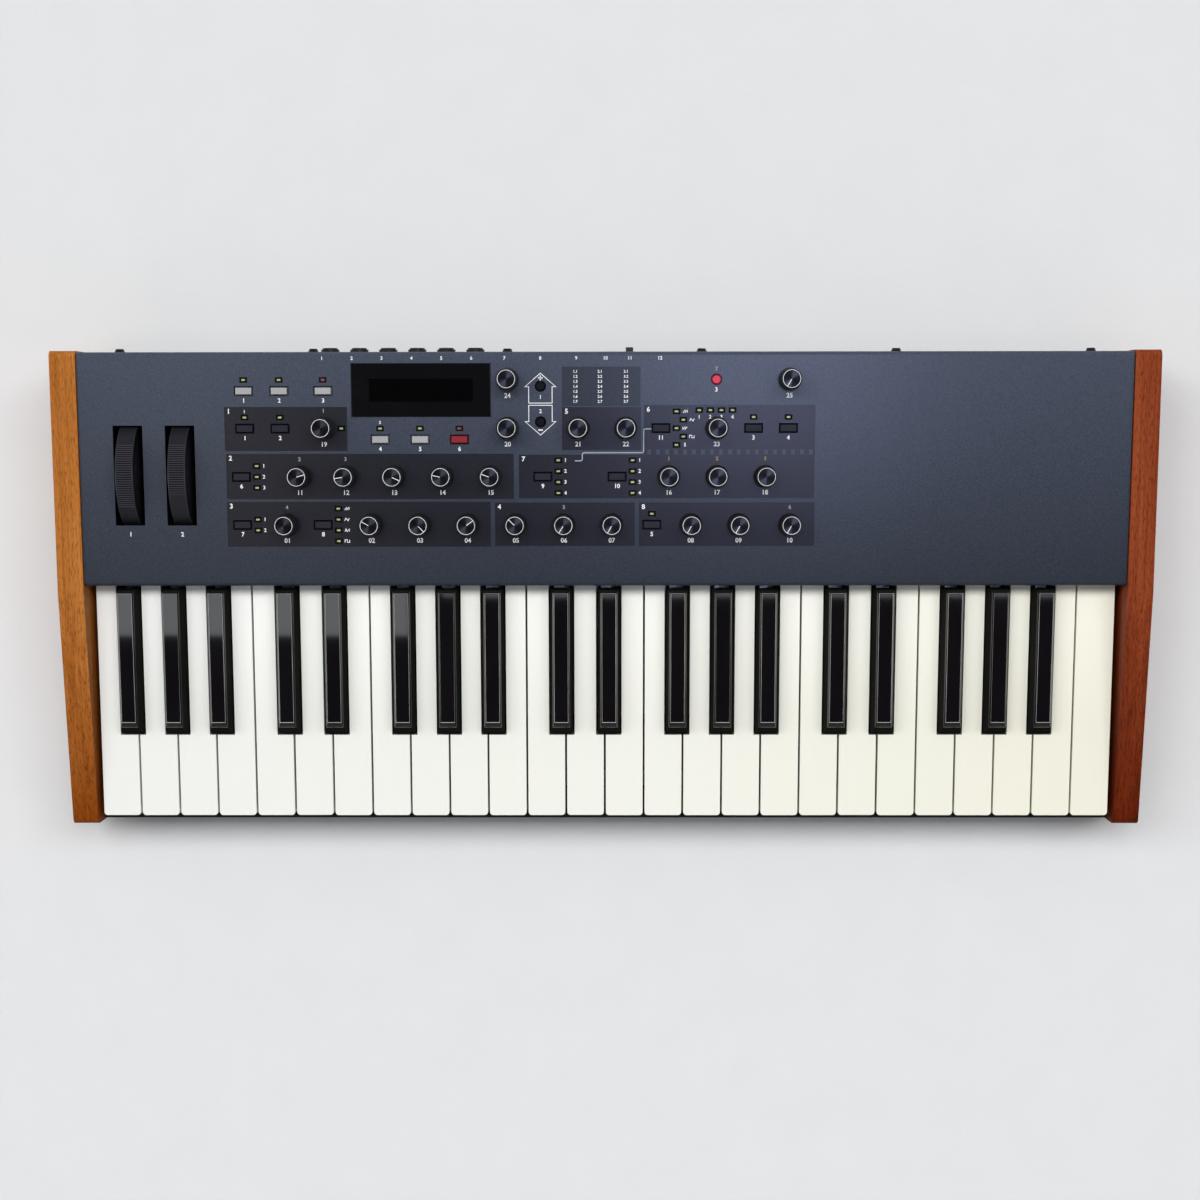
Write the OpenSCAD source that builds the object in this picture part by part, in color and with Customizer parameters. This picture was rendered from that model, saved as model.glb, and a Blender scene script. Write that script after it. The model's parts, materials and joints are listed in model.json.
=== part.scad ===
// Compact keyboard synthesizer: wood cheeks, a folded steel case, a sprung keyboard from F to C,
// two wheels, and a panel of knobs, buttons and lights.
// X runs along the keys, Y from the player to the rear sockets, Z up from the table.
// Panel places are given as u, from the left cheek's inner face, and v, back from the panel's front edge.

/* [Keyboard] */
// Span of an octave of seven white keys
octave_span = 165; // [162:0.5:170]
// Number of white keys, the first one an F
white_count = 26; // [20:1:33]
// Gap between neighbouring white keys
white_gap = 1.2; // [0.8:0.1:1.4]
// Round of a white key's front corners, seen from above
key_round = 2; // [1:0.1:2.2]
// Height of the white key tops above the table
key_top = 58; // [56:0.5:64]
// Length of white key in front of the panel
key_reach = 141; // [130:1:155]
// Height of a white key's front face
key_lip = 20; // [16:0.5:21]
// Side wall of the hollow plastic keys
key_wall = 2; // [1.4:0.1:2.6]
// Top skin of the hollow plastic keys
key_skin = 3; // [2:0.1:4]
// Width of a black key at its foot
black_w = 13.5; // [11.5:0.1:13.6]
// Width of a black key's flat top
black_top_w = 8.2; // [7:0.1:10]
// Width of a black key at its shoulders
black_shoulder_w = 10.6; // [10.2:0.1:11.4]
// Height of the black keys above the white ones
black_rise = 11.5; // [9:0.5:13]
// Clearance between a black key and its white neighbours
black_gap = 0.9; // [0.5:0.1:1]
// Distance from the white key fronts back to the black ones
black_setback = 50.4; // [46:0.2:53]
// Run of a black key's sloping front
black_slope = 8.4; // [7:0.1:12]
// Travel of a key at its front edge
key_dip = 10; // [8:0.5:11]
// Key hinge axis behind the panel's front edge
pivot_back = 18; // [16:0.5:20]
// Key hinge axis below the white key tops
pivot_drop = 8; // [6:0.5:9]
// Diameter of the hinge rod
rod_d = 4; // [3:0.5:5]
// Height of the key arms that turn on the rod
arm_h = 14; // [13:0.5:16]

/* [Case] */
// Thickness of a wood cheek
cheek_t = 15.3; // [12:0.1:20]
// Cheek beyond the key fronts
cheek_nose = 5; // [3:0.5:15]
// Cheek top above the panel
cheek_lift = 1.5; // [0:0.25:5]
// Cheek front top above the white keys
cheek_front_lift = 3; // [1:0.5:8]
// Round of the cheek's corners, seen from the side
cheek_round = 4; // [2:0.5:5]
// Height of the cheeks' underside above the table
cheek_clear = 5; // [3:0.5:8]
// Gap between the end keys and the cheeks
side_gap = 2.5; // [2.2:0.1:4]
// Depth of the panel
panel_d = 136.4; // [135:0.2:150]
// Panel top above the white key tops
panel_rise = 16.6; // [15:0.2:20]
// Sheet thickness of the panel
panel_t = 1.6; // [1.2:0.1:2]
// Sheet thickness of the base pan
pan_t = 1.5; // [1.2:0.1:2]
// Height of the panel's rear flange
flange_h = 16; // [14:0.5:20]
// Height of the rubber feet
foot_h = 10; // [8:0.5:11]
// Diameter of the rubber feet
foot_d = 20; // [16:0.5:26]
// Diameter of the case screws
screw_d = 3; // [2.5:0.1:3.5]

/* [Panel controls] */
// First row of controls behind the panel's front edge
row_first = 36; // [35:0.5:38]
// Last row of controls in front of the panel's rear edge
row_back = 16.1; // [15:0.1:18]
// Height of a knob above the panel
knob_h = 15.5; // [12:0.5:18]
// Diameter of a knob at its skirt
knob_d = 13.4; // [12:0.1:16]
// Diameter of a knob below its bright ring
knob_top_d = 11.8; // [11.2:0.1:12]
// Outer diameter of the bright ring on a knob
ring_d = 10.5; // [9:0.1:11]
// Diameter of the control shafts
shaft_d = 5.8; // [5:0.1:6.2]
// Length of a rectangular button
button_l = 9.3; // [8:0.1:10.5]
// Width of a rectangular button
button_w = 3.9; // [3.5:0.1:5]
// Diameter of a round button
round_d = 4.8; // [4.4:0.1:6.4]
// Height of the buttons above the panel
button_rise = 0.9; // [0.8:0.1:2]
// Travel of a button
button_travel = 0.7; // [0.4:0.1:0.8]
// Length of an indicator light
led_l = 3.4; // [2.5:0.1:4]
// Width of an indicator light
led_w = 2.1; // [1.5:0.1:2.5]
// Distance between indicator lights in a column
led_pitch = 6.35; // [6:0.05:6.5]
// Indicator light behind its own button
led_rise = 6.4; // [6:0.1:7]
// Indicator lights to the right of their button
led_side = 9.1; // [8.6:0.1:9.5]
// Width of the display window
window_l = 81.4; // [70:0.2:84]
// Depth of the display window
window_w = 30.5; // [26:0.5:31]
// Thickness of the display window
window_t = 3; // [2:0.1:4]

/* [Wheels] */
// Radius of a wheel
wheel_r = 32; // [28:0.5:33]
// Width of a wheel
wheel_w = 10.4; // [8:0.2:12]
// Wheel top above the panel
wheel_rise = 13.5; // [10:0.5:14]
// Distance between the two wheels
wheel_pitch = 30.6; // [29:0.2:34]
// Width of a wheel slot in the panel
slot_w = 17.4; // [15:0.2:19]
// Length of a wheel slot in the panel
slot_l = 58.3; // [58:0.1:60]
// Diameter of the wheel axles
axle_d = 6; // [4:0.5:8]

/* [Rear sockets] */
// Distance between the jack sockets
jack_pitch = 17.45; // [16.5:0.05:17.5]
// Bore of a jack socket
jack_bore_d = 6.5; // [6.4:0.05:6.7]
// Depth of a jack socket
jack_depth = 31; // [28:0.5:33]
// Diameter of a jack socket's threaded nose
jack_nose_d = 9; // [8.5:0.1:9.6]
// Jack nose beyond the panel's rear edge
jack_reach = 3.6; // [2:0.2:3.8]
// Power switch beyond the panel's rear edge
switch_reach = 4; // [3.8:0.1:6]
// Width of the power switch's lever
switch_w = 4.4; // [3:0.1:5]

/* [Clearances] */
// Running clearance of a pin or shaft in its bore, on the radius
run_clear = 0.25; // [0.15:0.05:0.3]
// Clearance of fixed pieces in their cut-outs
fit_clear = 0.3; // [0.2:0.05:0.35]
// Clearance of the buttons in the panel
button_clear = 0.6; // [0.4:0.05:0.7]
// Gap between pieces that would otherwise fuse
part_gap = 0.1; // [0.05:0.05:0.15]

/* [Hidden] */
$fn = 48;
cut = 1;

// Key pattern from F: shift of the black key from the joint to the right of each white note
black_shift = [-3.5, 0, 3.5, undef, -2.5, 2.5, undef];
white_pitch = octave_span / 7;
keys_w = white_count * white_pitch;
inner_w = keys_w + 2 * side_gap;
function key_x(i) = -keys_w / 2 + i * white_pitch;
function has_black(i) = i >= 0 && i < white_count - 1 && !is_undef(black_shift[i % 7]);
function black_x(i) = key_x(i + 1) + black_shift[i % 7];
function notch(i, side) = black_x(i) + side * (black_w / 2 + black_gap);
function neck_left(i) = has_black(i - 1) ? notch(i - 1, 1) : key_x(i) + white_gap / 2;
function neck_right(i) = has_black(i) ? notch(i, -1) : key_x(i + 1) - white_gap / 2;

// Heights
panel_top = key_top + panel_rise;
panel_under = panel_top - panel_t;
pan_floor = foot_h + pan_t;
arm_z = key_top - arm_h;
head_z = key_top - key_lip;
pivot_z = key_top - pivot_drop;
deck_t = 2;
pan_wall_drop = 14;
pan_wall_z = key_top - pan_wall_drop;
lip_clear = 2.2;
panel_side_gap = 0.4;
bend_r = 0.4;

// Depths, all measured back from the panel's front edge
black_front = -(key_reach - black_setback);
head_back = black_front - black_gap;
cap_back = -2.5;
arm_front = 5;
arm_inset = 1.3;
tail_l = 10.5;
tail = pivot_back + tail_l;
cheek_tail = 0.8;
cheek_back = panel_d + cheek_tail;
cheek_bend = -4;
pan_setback = 1;
cheek_front = -key_reach - cheek_nose;
panel_y = -(cheek_front + panel_d + switch_reach) / 2;
wall_out = panel_d - panel_t - part_gap;
wall_in = wall_out - pan_t;

// Key action
key_angle = asin(key_dip / (key_reach + pivot_back));
stop_inset = 23;
stop_front = -key_reach + stop_inset;
stop_lap = 8;
stop_back = black_front + stop_lap;
stop_gap = 0.4;
function drop_at(v) = (pivot_back - v) * sin(key_angle);
stop_z = head_z - drop_at(stop_front) - stop_gap;
stop_felt_h = 5.05;
deck_top = stop_z - stop_felt_h;
leg_z = stop_z + drop_at(black_front) + stop_gap;
rest_gap = 0.3;
rest_felt_h = 4;
rest_inset = 4.6;
rest_front = pivot_back + rest_inset;
felt_inset = 1;
rod_overhang = 0.7;
frame_gap = 0.5;
frame_front = 10;
bracket_t = 1.6;
bracket_v = [-8, 4];
bracket_lift = 5;
black_chamfer = 1.8;
black_nose = [5.3, 1];
black_step = [2.5, 6];

// Panel places
row_pitch = (panel_d - row_first - row_back) / 3;
function ux(u) = u - inner_w / 2;
function row_v(n) = row_first + n * row_pitch;
function low_v(n) = row_v(n) - led_rise;
param_u = 252.2;

// Knobs as name, place along the panel, row, and pointer angle from +X; endless ones have no pointer
KNOBS = [
    ["knob_osc_pitch", 121.7, 0, undef],
    ["knob_pulse_width", 171.5, 0, 150],
    ["knob_glide", 200, 0, -45],
    ["knob_sub_level", 228.2, 0, 36],
    ["knob_osc_mix", 256.6, 0, 135],
    ["knob_feedback", 285, 0, 238],
    ["knob_noise", 313.2, 0, 240],
    ["knob_cutoff", 359.8, 0, 240],
    ["knob_resonance", 388, 0, 240],
    ["knob_audio_mod", 418, 0, 240],
    ["knob_env_amount", 129.7, 1, 18],
    ["knob_attack", 156.8, 1, 189],
    ["knob_decay", 185.2, 1, -24],
    ["knob_sustain", 213.6, 1, 168],
    ["knob_release", 242, 1, 159],
    ["knob_mod_source", 346.7, 1, undef],
    ["knob_mod_target", 375, 1, undef],
    ["knob_mod_amount", 403.2, 1, undef],
    ["knob_tempo", 144.3, 2, undef],
    ["knob_param_2", param_u, 2, undef],
    ["knob_misc_select", 293.6, 2, undef],
    ["knob_misc_value", 321.5, 2, undef],
    ["knob_lfo_rate", 374.8, 2, undef],
    ["knob_param_1", param_u, 3, undef],
    ["knob_volume", 417.1, 3, 240]
];

// Buttons as places u, v
LIGHT_BUTTONS = [
    [97.8, low_v(3)], [118.6, low_v(3)], [144.3, low_v(3)], [177.4, low_v(2)], [200.8, low_v(2)]
];
RED_BUTTON = [223.9, low_v(2)];
LIT_BUTTONS = [
    [98, row_v(2)], [118.7, row_v(2)], [396.2, row_v(2)], [416.6, row_v(2)], [336.8, row_v(0)]
];
// Buttons with a column of lights at their right, and the number of lights
COLUMN_BUTTONS = [
    [95.3, row_v(1), 3], [95.3, row_v(0), 2], [142.9, row_v(0), 4], [272.7, row_v(1), 4], [316.3, row_v(1), 4]
];
WAVE_BUTTON = [342, row_v(2)];
DARK_BUTTONS = concat(LIT_BUTTONS, COLUMN_BUTTONS, [WAVE_BUTTON]);
step_u = 271.5;
step_rise = 14;
step_half = 10.3;
STEP_BUTTONS = [for (s = [1, -1]) [step_u, row_v(2) + step_rise + s * step_half]];
TAP_BUTTON = [374.3, row_v(3)];
ROUND_BUTTONS = concat(STEP_BUTTONS, [TAP_BUTTON]);
BAR_BUTTONS = concat(LIGHT_BUTTONS, DARK_BUTTONS, [RED_BUTTON]);

// Indicator lights as places u, v
wave_step = [4, 4.85];
lfo_step = 6.5;
lfo_lights_u = 374.1;
lfo_lights_v = row_v(2) + 10.4;
TEMPO_LIGHT = [154.7, row_v(2)];
light_clear = 0.2;
light_proud = 0.15;
LIGHTS = concat(
    [for (b = concat(LIGHT_BUTTONS, LIT_BUTTONS, [RED_BUTTON])) [b[0], b[1] + led_rise]],
    [for (b = COLUMN_BUTTONS) for (k = [0 : b[2] - 1])
        [b[0] + led_side, b[1] + (k - (b[2] - 1) / 2) * led_pitch]],
    [for (k = [0 : 4])
        [WAVE_BUTTON[0] + led_side + (k % 2) * wave_step[0], WAVE_BUTTON[1] + (k - 2) * wave_step[1]]],
    [for (k = [0 : 3]) [lfo_lights_u + (k - 1.5) * lfo_step, lfo_lights_v]],
    [TEMPO_LIGHT]
);

window_side = 9.8;
window_back = 22.1;
window_at = [param_u - window_side - window_l / 2, panel_d - window_back];
window_proud = 0.2;
window_z = panel_top + window_proud - window_t;

// Boards and controls under the panel
board_t = 1.6;
board_drop = 10.6;
board_top = panel_under - board_drop;
board_u = [84, 432];
board_lap = [13, 10.7];
board_v = [row_v(0) - board_lap[0], row_v(3) + board_lap[1]];
display_lap = 1;
stud_d = 5;
stud_inset = 3.5;
stud_mid_u = 300;
STUDS = [
    for (u = [board_u[0] + stud_inset, stud_mid_u, board_u[1] - stud_inset])
        for (v = [board_v[0] + stud_inset, board_v[1] - stud_inset]) [u, v]
];
pot_l = 10.4;
pot_h = 6.4;
pot_nose_d = shaft_d + 1.2;
pot_nose_drop = 0.8;
pot_nose_z = panel_top - pot_nose_drop;
shaft_lift = 1.6;
shaft_z = board_top + shaft_lift;
switch_l = 6;
switch_h = 3.2;
plunger_d = 3.4;
plunger_h = 0.6;
plunger_z = board_top + part_gap + switch_h + plunger_h;
stem_gap = 0.2;
stem_z = plunger_z + button_travel + stem_gap;
button_flange = 1.2;
button_flange_t = 1.2;
knob_foot = 0.5;
knob_skirt_h = 3;
knob_edge_h = 0.7;
ring_w = 0.6;
disc_sink = 0.25;
pointer_w = 0.9;
pointer_sink = 0.4;
pointer_inset = 0.6;

// Wheels
wheel_u = 29;
wheel_v = 64.85;
wheel_z = panel_top + wheel_rise - wheel_r;
wheel_edge = 1.2;
plate_t = 6;
axle_seat = 2.5;
plate_foot_t = 2;
plate_v = 12;

// Rear sockets, on the main board
main_h = 17.5;
main_top = pan_floor + main_h;
standoff_d = 6;
standoff_inset = 6;
CHIP_PLACES = [0.15, 0.33, 0.51, 0.7];
chip_l = 18;
chip_h = 3.2;
chip_inset = 16;
jack_body = [15, 30, 14];
jack_nut_d = jack_nose_d + 2;
jack_nut_t = 4.4;
din_body = [20, 13, 20];
din_nose_d = 15;
din_groove = [11.4, 13.6];
din_pin_r = 3.75;
din_pin_d = 1.7;
din_depth = 8;
usb_body = [12, 16, 11];
usb_mouth = [8.6, 7.9];
usb_tongue = [5.6, 2.8];
mouth_depth = 9;
usb_tongue_inset = 2;
dc_body = [10, 14, 11];
dc_bore_d = 6.2;
dc_pin_d = 2;
dc_pin_inset = 1;
switch_body = [12, 14, 10];
switch_back = 1.5;
switch_play = 3.5;
mouth_rim = 1;
socket_recess = 0.4;
jack_u = 144;
JACKS = [for (k = [0 : 5]) jack_u + k * jack_pitch];
din_side = 1.75;
din_gap = 1;
din_u = JACKS[5] + (jack_body[0] + din_body[0]) / 2 + din_side;
DINS = [for (k = [0 : 2]) din_u + k * (din_body[0] + din_gap)];
usb_gap = 1;
usb_u = DINS[2] + (din_body[0] + usb_body[0]) / 2 + usb_gap;
switch_gap = 2.3;
switch_u = usb_u + (usb_body[0] + switch_body[0]) / 2 + switch_gap;
dc_gap = 6.5;
dc_u = switch_u + (switch_body[0] + dc_body[0]) / 2 + dc_gap;
main_side = [12, 10.7];
main_u = [JACKS[0] - main_side[0], dc_u + main_side[1]];
main_d = 59.2;
main_gap = 2;
main_v = [wall_in - main_gap - main_d, wall_in - main_gap];
jack_z = main_top + part_gap + jack_body[2] / 2;
din_z = main_top + part_gap + din_body[2] / 2;
usb_z = main_top + part_gap + usb_body[2] / 2;
dc_z = main_top + part_gap + dc_body[2] / 2;
switch_z = main_top + part_gap + switch_body[2] / 2;

// Fasteners and feet
screw_hole_d = screw_d + 0.4;
screw_head_d = 2 * screw_d + 0.2;
screw_head_h = 2;
screw_dome = 1.6;
recess_l = 3.4;
recess_w = 0.8;
recess_sink = 0.8;
rear_screw_drop = 8;
rear_screw_z = panel_top - rear_screw_drop;
rear_screw_inset = 24.3;
rear_screw_pitch = (inner_w - 2 * rear_screw_inset) / 5;
REAR_SCREWS = [for (k = [0 : 5]) rear_screw_inset + k * rear_screw_pitch];
screw_tip = 2;
cheek_screw_lift = 5.5;
cheek_screw_z = pan_floor + cheek_screw_lift;
cheek_screw_l = 12;
cheek_screw_inset = [10, 36.4];
cheek_screw_gap = 14;
CHEEK_SCREWS = [cheek_front + cheek_screw_inset[0], tail + cheek_screw_gap, panel_d - cheek_screw_inset[1]];
foot_screw_z = 6;
foot_inset = 40;
foot_lap = [28, 26];
foot_v = [cheek_front + foot_lap[0], panel_d - foot_lap[1]];
foot_taper = 2;
FEET = [for (u = [foot_inset, inner_w - foot_inset]) for (v = foot_v) [u, v]];

WHITE_NAMES = ["keys_f", "keys_g", "keys_a", "keys_b", "keys_c", "keys_d", "keys_e"];
BLACK_NAMES = ["keys_f_sharp", "keys_g_sharp", "keys_a_sharp", undef, "keys_c_sharp", "keys_d_sharp", undef];

// A piece in its colour, drawn from the panel's front edge
module piece(c) {
    color(c) translate([0, panel_y, 0]) children();
}

// A box between two limits along each axis
module block(x, v, z) {
    translate([x[0], v[0], z[0]]) cube([x[1] - x[0], v[1] - v[0], z[1] - z[0]]);
}

// A box about a panel place
module pad(at, l, w, z) {
    block(span(ux(at[0]), l), span(at[1], w), z);
}

// An upright round bar at a panel place
module post(at, d, z) {
    translate([ux(at[0]), at[1], z[0]]) cylinder(d = d, h = z[1] - z[0]);
}

// A round bar along Y at a place on the rear wall
module rear_bar(u, z, d, v) {
    translate([ux(u), v[0], z]) rotate([-90, 0, 0]) cylinder(d = d, h = v[1] - v[0]);
}

// A box about a place on the rear wall
module rear_box(u, z, l, h, v) {
    block(span(ux(u), l), v, span(z, h));
}

// A round bar along X
module cross_bar(x, v, z, d) {
    translate([x[0], v, z]) rotate([0, 90, 0]) cylinder(d = d, h = x[1] - x[0]);
}

// An outline in Y and Z carried along X
module side_profile(x, points) {
    translate([x[0], 0, 0]) rotate([90, 0, 90]) linear_extrude(x[1] - x[0]) polygon(points);
}

// Limits of a length about its middle, and of a length above its foot
function span(middle, l) = [middle - l / 2, middle + l / 2];
function above(foot, h) = [foot, foot + h];

// Points of a quarter round about a centre, outside and inside a bend
function corner(at, r, from) = [for (a = [0 : 15 : 90]) at + r * [cos(from + a), sin(from + a)]];
function inner_corner(at, r, from) = [for (a = [90 : -15 : 0]) at + r * [cos(from + a), sin(from + a)]];

// Steel tray: floor, walls, rear wall with its socket holes, and standoffs for the main board
module base_pan() {
    half = inner_w / 2;
    front = cheek_front + pan_setback;
    piece("dimgray") difference() {
        union() {
            block([-half, half], [front, wall_out], [foot_h, pan_floor]);
            block([-half, half], [front, front + pan_t], [foot_h, pan_wall_z]);
            block([-half, half], [wall_in, wall_out], [foot_h, panel_under - bend_r]);
            for (s = [-1, 1])
                block(span(s * (half - pan_t / 2), pan_t), [front, wall_out], [foot_h, pan_wall_z]);
            for (u = main_u + [standoff_inset, -standoff_inset])
                for (v = main_v + [standoff_inset, -standoff_inset])
                    post([u, v], standoff_d, [foot_h, main_top - board_t]);
        }
        for (u = JACKS) rear_bar(u, jack_z, jack_nose_d + 2 * fit_clear, [wall_in - cut, wall_out + cut]);
        for (u = DINS) rear_bar(u, din_z, din_nose_d + 2 * fit_clear, [wall_in - cut, wall_out + cut]);
        rear_box(usb_u, usb_z, usb_mouth[0] + 2 * mouth_rim, usb_mouth[1] + 2 * mouth_rim,
            [wall_in - cut, wall_out + cut]);
        rear_bar(dc_u, dc_z, dc_bore_d + 2 * mouth_rim, [wall_in - cut, wall_out + cut]);
        rear_box(switch_u, switch_z, switch_w + 2 * fit_clear, switch_w + 2 * fit_clear,
            [wall_in - cut, wall_out + cut]);
        for (u = REAR_SCREWS) rear_bar(u, rear_screw_z, screw_hole_d, [wall_in - cut, wall_out + cut]);
        for (v = CHEEK_SCREWS) cross_bar([-half - cut, half + cut], v, cheek_screw_z, screw_hole_d);
        for (f = FEET) post(f, screw_hole_d, [foot_h - cut, pan_floor + cut]);
    }
}

// Outline of the folded sheet: front lip, level top and rear flange, with a small bend radius
function folded_sheet() =
    let (
        lip_z = key_top + lip_clear,
        flange_z = panel_top - flange_h,
        back = panel_d - panel_t,
        out = bend_r + panel_t
    )
    concat(
        [[0, lip_z], [panel_t, lip_z]],
        inner_corner([panel_t + bend_r, panel_under - bend_r], bend_r, 90),
        inner_corner([back - bend_r, panel_under - bend_r], bend_r, 0),
        [[back, flange_z], [panel_d, flange_z]],
        corner([panel_d - out, panel_top - out], out, 0),
        corner([out, panel_top - out], out, 90)
    );

// Folded panel with its front lip, rear flange, cut-outs and the studs that carry the control board
module top_panel() {
    half = inner_w / 2 - panel_side_gap;
    z = [panel_under - cut, panel_top + cut];
    piece("darkslategray") difference() {
        union() {
            side_profile([-half, half], folded_sheet());
            for (s = STUDS) post(s, stud_d, [board_top, panel_under]);
        }
        for (k = KNOBS) post([k[1], row_v(k[2])], pot_nose_d + 2 * fit_clear, z);
        for (b = BAR_BUTTONS) pad(b, button_l + 2 * button_clear, button_w + 2 * button_clear, z);
        for (b = ROUND_BUTTONS) post(b, round_d + 2 * button_clear, z);
        for (l = LIGHTS) pad(l, led_l + 2 * light_clear, led_w + 2 * light_clear, z);
        for (k = [0, 1]) pad([wheel_u + k * wheel_pitch, wheel_v], slot_w, slot_l, z);
        pad(window_at, window_l + 2 * fit_clear, window_w + 2 * fit_clear, z);
        for (u = REAR_SCREWS)
            rear_bar(u, rear_screw_z, screw_hole_d, [panel_d - panel_t - cut, panel_d + cut]);
    }
}

// Wood cheek: level beside the panel, sloping down along the keys, with rounded corners
module cheek(s) {
    r = cheek_round;
    top = panel_top + cheek_lift;
    nose = key_top + cheek_front_lift;
    x = span(s * (inner_w + cheek_t) / 2, cheek_t);
    piece("peru") difference() {
        side_profile(x, concat(
            [[cheek_front, cheek_clear], [cheek_back, cheek_clear]],
            corner([cheek_back - r, top - r], r, 0),
            [[cheek_bend, top]],
            corner([cheek_front + r, nose - r], r, 90)
        ));
        for (v = CHEEK_SCREWS)
            cross_bar(span(s * inner_w / 2, 2 * cheek_screw_l), v, cheek_screw_z, screw_d + 2 * part_gap);
    }
}

module left_cheek() {
    cheek(-1);
}

module right_cheek() {
    cheek(1);
}

// Key frame: deck on legs, a beam under the key tails and brackets that carry the hinge rod
module key_frame() {
    half = inner_w / 2 - pan_t - frame_gap;
    front = stop_front - frame_front;
    back = tail + 1;
    piece("silver") difference() {
        union() {
            block([-half, half], [front, back], [deck_top - deck_t, deck_top]);
            for (v = [front, front / 2, back - deck_t])
                block([-half, half], [v, v + deck_t], [pan_floor, deck_top]);
            block([-half, half], [rest_front, back], [deck_top - deck_t, arm_z - rest_gap - rest_felt_h]);
            for (i = [0 : white_count]) if (i == 0 || i == white_count || is_undef(black_shift[(i - 1) % 7]))
                block(span(key_x(i), bracket_t),
                    bracket_v + [pivot_back, pivot_back], [deck_top - deck_t, pivot_z + bracket_lift]);
        }
        cross_bar([-half - cut, half + cut], pivot_back, pivot_z, rod_d + 2 * part_gap);
    }
}

// Steel rod that every key turns on
module hinge_rod() {
    half = keys_w / 2 + rod_overhang;
    piece("lightgray") cross_bar([-half, half], pivot_back, pivot_z, rod_d);
}

// Felt strips: the front one stops pressed keys, the rear one holds the resting tails
module key_felts() {
    half = keys_w / 2 - felt_inset;
    piece("firebrick") {
        block([-half, half], [stop_front, stop_back], [deck_top, stop_z]);
        block([-half, half], [rest_front, tail], above(arm_z - rest_gap - rest_felt_h, rest_felt_h));
    }
}

// Bore for the hinge rod through the key arms between two limits
module hinge_bore(x) {
    cross_bar(x + [-cut, cut], pivot_back, pivot_z, rod_d + 2 * run_clear);
}

// Outline of a white key's head from above, with its front corners rounded
function head_outline(x) = concat(
    [[x[1], head_back], [x[0], head_back]],
    corner([x[0] + key_round, -key_reach + key_round], key_round, 180),
    corner([x[1] - key_round, -key_reach + key_round], key_round, 270)
);

// White key: hollow head and neck, and a solid arm with the hinge bore
module white_key(i) {
    head = [key_x(i) + white_gap / 2, key_x(i + 1) - white_gap / 2];
    neck = [neck_left(i), neck_right(i)];
    inset = [key_wall, -key_wall];
    difference() {
        union() {
            translate([0, 0, head_z]) linear_extrude(key_lip) polygon(head_outline(head));
            block(neck, [head_back - cut, arm_front], [arm_z, key_top]);
            block(neck + [arm_inset, -arm_inset], [arm_front - cut, tail], [arm_z, key_top]);
        }
        block(head + inset, [-key_reach, head_back] + inset, [head_z - cut, key_top - key_skin]);
        block(neck + inset, [head_back - 2 * key_wall, arm_front - key_wall],
            [arm_z - cut, key_top - key_skin]);
        hinge_bore(neck);
    }
}

// Black key: hollow body, sloped cap, stop leg and a solid arm with the hinge bore
module black_key(i) {
    body = span(black_x(i), black_w);
    inset = [key_wall, -key_wall];
    difference() {
        union() {
            block(body, [black_front, arm_front], [arm_z, key_top]);
            block(body + [arm_inset, -arm_inset], [arm_front - cut, tail], [arm_z, key_top]);
            block(body + 2 * inset, [black_front, black_front + 3 * key_wall], [leg_z, arm_z + cut]);
            translate([black_x(i), 0, key_top]) black_cap();
        }
        block(body + inset, [black_front + 3 * key_wall, arm_front - key_wall], [arm_z - cut, key_top]);
        hinge_bore(body);
    }
}

// Cap of a black key: shouldered across, sloped at the front and stepped at the rear
module black_cap() {
    shoulder_z = black_rise - black_chamfer;
    half = [black_w, black_shoulder_w, black_top_w] / 2;
    across = [
        [-half[0], -cut], [half[0], -cut], [half[0], 0], [half[1], shoulder_z],
        [half[2], black_rise], [-half[2], black_rise], [-half[1], shoulder_z], [-half[0], 0]
    ];
    along = [
        [black_front, -cut], [cap_back, -cut], [cap_back, black_rise - black_step[1]],
        [cap_back - black_step[0], black_rise], [black_front + black_slope, black_rise],
        [black_front + black_nose[0], black_rise - black_nose[1]], [black_front, 0]
    ];
    intersection() {
        translate([0, cap_back, 0]) rotate([90, 0, 0]) linear_extrude(cap_back - black_front) polygon(across);
        side_profile([-black_w / 2, black_w / 2], along);
    }
}

// All white keys of one note
module white_keys(note) {
    piece("ivory") for (i = [note : 7 : white_count - 1]) white_key(i);
}

// All black keys to the right of one white note
module black_keys(note) {
    piece("black") for (i = [note : 7 : white_count - 1]) if (has_black(i)) black_key(i);
}

// Glossy window over the display
module display_window() {
    piece("midnightblue") pad(window_at, window_l, window_w, above(window_z, window_t));
}

// Potentiometer or encoder body with the bushing that its shaft turns in
module pot(at) {
    z = board_top + part_gap;
    difference() {
        union() {
            pad(at, pot_l, pot_l, above(z, pot_h));
            post(at, pot_nose_d, [z + pot_h - cut, pot_nose_z]);
        }
        post(at, shaft_d + 2 * run_clear, [shaft_z - rest_gap, pot_nose_z + cut]);
    }
}

// Tact switch under a button
module tact_switch(at) {
    z = board_top + part_gap;
    pad(at, switch_l, switch_l, above(z, switch_h));
    post(at, plunger_d, [z + switch_h / 2, plunger_z]);
}

// Control board with its pots, encoders, switches and display module
module control_board() {
    piece("darkgreen") {
        block([ux(board_u[0]), ux(board_u[1])], board_v, above(board_top - board_t, board_t));
        for (k = KNOBS) pot([k[1], row_v(k[2])]);
        for (b = concat(BAR_BUTTONS, ROUND_BUTTONS)) tact_switch(b);
        pad(window_at, window_l + 2 * display_lap, window_w + 2 * display_lap,
            [board_top + part_gap, window_z]);
    }
}

// Light blocks standing on the control board, just proud of the panel
module indicator_lights() {
    piece("yellowgreen") for (l = LIGHTS) pad(l, led_l, led_w, [board_top, panel_top + light_proud]);
}

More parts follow.
